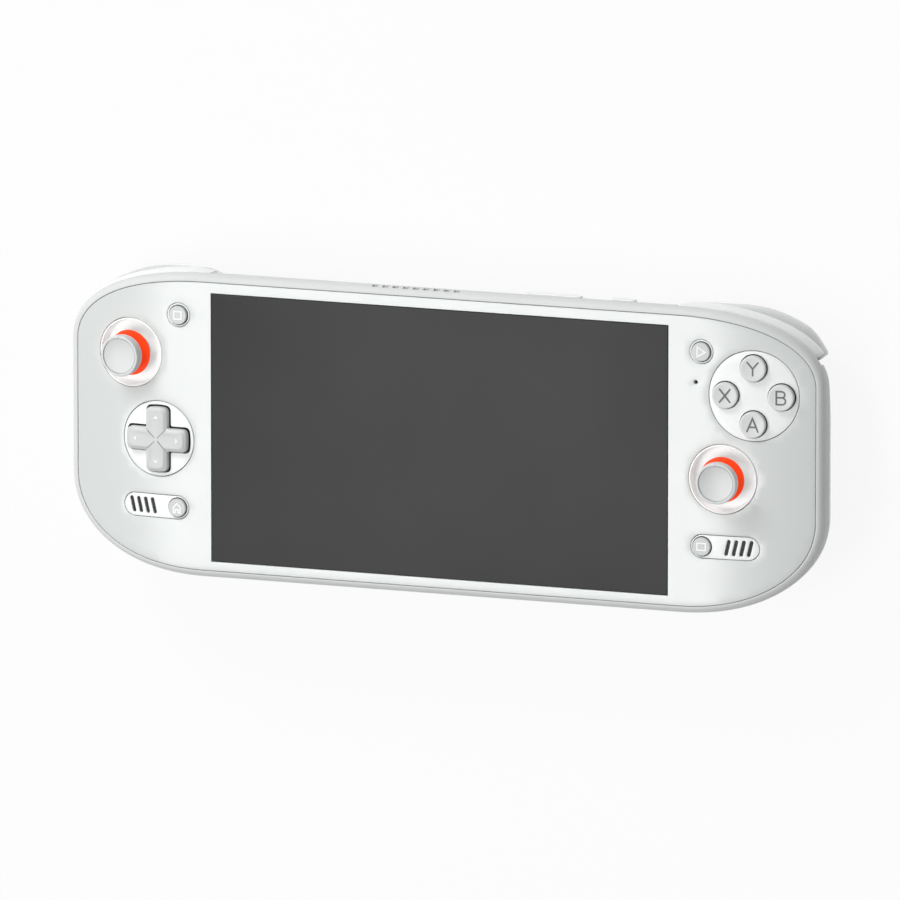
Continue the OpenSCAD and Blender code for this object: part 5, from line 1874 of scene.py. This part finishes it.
@dataclass
class BottomEdge:
    """Charging port, headphone jack and card slot in the bottom edge."""

    z: float = -6.3
    gap: float = SEAM
    usb: Pair = (8.94, 3.26)
    jack: Pair = (30.0, 2.45)
    jack_turn: int = 48
    card_x: float = -30.0
    card: Pair = (13.4, 1.6)

    def openings(self) -> Form:
        """Give the forms that are cut out of the frame.

        Returns:
            All of them in one form.
        """
        port = pill_line(*(v + 2 * self.gap for v in self.usb))
        hole = circle(Matrix.Identity(4), self.jack[1] + self.gap, self.jack_turn)
        slot = rectangle(*(v / 2 + self.gap for v in self.card))
        down = Matrix.Rotation(math.pi / 2, 4, "X")
        form = Form()
        for line, x in ((port, 0.0), (hole, self.jack[0]), (slot, self.card_x)):
            spot = Matrix.Translation((x, -BODY.bottom, self.z)) @ down
            form.add(bar(line, spot, -CUT, CUT))
        return form


@dataclass
class Inside:
    """CAD nodes that keep their own shape and get a finish."""

    finishes: Mapping[Finish, str] = field(
        default_factory=lambda: {
            BLACK: "display_module left_speaker right_speaker battery fan_housing headphone_jack",
            DARK: "fan_rotor card_slot left_stick_base right_stick_base",
            STEM: "left_stick_yoke left_stick_hub right_stick_yoke right_stick_hub dpad_rocker",
            SILICONE: "dpad_membrane abxy_membrane",
            BOARD: "left_control_board right_control_board main_board",
            STEEL: "bumper_pins trigger_pins trigger_springs left_motor right_motor usb_port",
            CAST: "chassis_plate",
            COPPER: "heat_sink",
        }
    )

    def dress(self) -> None:
        """Give each node its finish."""
        for finish, names in self.finishes.items():
            for name in names.split():
                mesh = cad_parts[name].data
                mesh.materials.clear()
                mesh.materials.append(finish.material())
                LOG.info("%s in %s", name, finish.name)


@dataclass(frozen=True)
class SoftBox:
    """A lamp with a rectangular cloth: where it hangs, seen from the console, and its size."""

    name: str
    lean: float
    lift: float
    reach: float
    width: float
    height: float
    watts: float


@dataclass
class Studio:
    """Floor, lights, background and camera."""

    turn: float = 20.3113880
    rise: float = 11.3034054
    reach: float = 4.8719
    aim: Pair = (-3.15172047, 1.60288965)
    lens: float = 713.7
    sensor: float = 36.0
    view_end: float = 40.0
    floor_half: float = 3.0
    floor_drop: float = 0.0003
    floor_glow: float = 0.9
    paper: str = "#F0F0F0"
    white: str = "#FFFFFF"
    bright_way: tuple[float, float, float] = (-0.34, 0.17, 0.92)
    facing: Pair = (-0.3, 1.0)
    glow: Pair = (0.04, 0.535)
    boxes: tuple[SoftBox, ...] = (
        SoftBox("soft_box", -20.3, -8.0, 2.0, 0.78, 1.2, 15.8),
        SoftBox("key", -36.0, 48.0, 1.5, 0.5, 0.5, 9.2),
    )

    def build(self) -> None:
        """Build the studio."""
        self.floor()
        self.world()
        self.lamps()
        self.camera()

    @staticmethod
    def aimed(lean: float, lift: float, reach: float) -> Matrix:
        """Give the placement of a lamp or camera that looks at the console's origin.

        Args:
            lean: Angle to the console's right, in degrees.
            lift: Angle to the console's top edge, in degrees.
            reach: Distance from the origin, in metres.

        Returns:
            Placement with X to the right, Y up and Z away from the console.
        """
        a, e = math.radians(lean), math.radians(lift)
        back = Vector((math.sin(a) * math.cos(e), math.sin(e), math.cos(a) * math.cos(e)))
        right = Vector((math.cos(a), 0.0, -math.sin(a)))
        turn = Matrix((right, back.cross(right), back)).transposed().to_4x4()
        return Matrix.Translation(Vector(ORIGIN) + back * reach) @ turn

    @staticmethod
    def seen(tree: bpy.types.NodeTree) -> bpy.types.NodeSocket:
        """Give 1 for what the camera sees, also in a mirror or through glass.

        Args:
            tree: Node tree that gets the nodes.

        Returns:
            The socket with the share.
        """
        path = add_node(tree, "LightPath").outputs
        share = path["Is Camera Ray"]
        for ray in ("Is Glossy Ray", "Is Transmission Ray"):
            either = add_node(tree, "Math", {"operation": "MAXIMUM"}, {0: share, 1: path[ray]})
            share = either.outputs[0]
        return share

    def floor(self) -> None:
        """Lay a plain white floor that keeps a soft shadow."""
        mesh = bpy.data.meshes.new("floor")
        corners = raised(rectangle(self.floor_half, self.floor_half), 0.0)
        mesh.from_pydata(corners.tolist(), [], [(0, 1, 2, 3)])
        floor = bpy.data.objects.new("floor", mesh)
        floor.location.z = -self.floor_drop
        bpy.context.scene.collection.objects.link(floor)
        material = bpy.data.materials.new("paper_white_sweep")
        tree = empty_tree(material)
        paper = add_node(tree, "BsdfDiffuse", inputs={"Color": linear(self.paper)})
        light = {"Color": linear(self.white), "Strength": 1.0}
        glow = add_node(tree, "Emission", inputs=light)
        share = add_node(
            tree, "Math", {"operation": "MULTIPLY"}, {0: self.seen(tree), 1: self.floor_glow}
        )
        parts = {0: share.outputs[0], 1: paper.outputs[0], 2: glow.outputs[0]}
        mixed = add_node(tree, "MixShader", inputs=parts)
        add_node(tree, "OutputMaterial", inputs={"Surface": mixed.outputs[0]})
        mesh.materials.append(material)

    def world(self) -> None:
        """Make the background white, and the soft light strongest from the upper left."""
        world = bpy.data.worlds.new("studio")
        bpy.context.scene.world = world
        tree = empty_tree(world)
        way = add_node(tree, "TexCoord").outputs["Generated"]
        facing = add_node(
            tree, "VectorMath", {"operation": "DOT_PRODUCT"}, {0: way, 1: self.bright_way}
        )
        spread = {
            "Value": facing.outputs["Value"],
            "From Min": self.facing[0],
            "From Max": self.facing[1],
            "To Min": self.glow[0],
            "To Max": self.glow[1],
        }
        strength = add_node(tree, "MapRange", inputs=spread).outputs["Result"]
        soft, white = (
            add_node(tree, "Background", inputs={"Color": linear(self.white), "Strength": level})
            for level in (strength, 1.0)
        )
        parts = {0: self.seen(tree), 1: soft.outputs[0], 2: white.outputs[0]}
        mixed = add_node(tree, "MixShader", inputs=parts)
        add_node(tree, "OutputWorld", inputs={"Surface": mixed.outputs[0]})

    def lamps(self) -> None:
        """Hang a tall soft box that the face mirrors, and a small key at the upper left."""
        for box_light in self.boxes:
            lamp = bpy.data.lights.new(box_light.name, "AREA")
            lamp.shape = "RECTANGLE"
            lamp.size, lamp.size_y = box_light.width, box_light.height
            lamp.energy = box_light.watts
            holder = bpy.data.objects.new(box_light.name, lamp)
            holder.matrix_world = self.aimed(box_light.lean, box_light.lift, box_light.reach)
            bpy.context.scene.collection.objects.link(holder)

    def camera(self) -> None:
        """Set the camera at the photograph's angle."""
        lens = bpy.data.cameras.new("camera")
        lens.lens = self.lens
        lens.sensor_width = self.sensor
        lens.clip_end = self.view_end
        holder = bpy.data.objects.new("camera", lens)
        shift = Matrix.Translation((-self.aim[0] * MM, -self.aim[1] * MM, 0.0))
        holder.matrix_world = self.aimed(self.turn, self.rise, self.reach) @ shift
        bpy.context.scene.collection.objects.link(holder)
        bpy.context.scene.camera = holder
        bpy.context.scene.view_settings.view_transform = "Standard"


def main() -> None:
    """Build all sub-assemblies in order."""
    logging.basicConfig(level=logging.INFO, format="%(message)s")
    Studio().build()
    Inside().dress()
    Casing().build()
    Screen().build()
    for side in Side:
        ThumbStick(side).build()
    DirectionPad().build()
    FaceButtons().build()
    SmallControls().build()
    Shoulders().build()
    TopEdge().build()


if __name__ == "__main__":
    main()
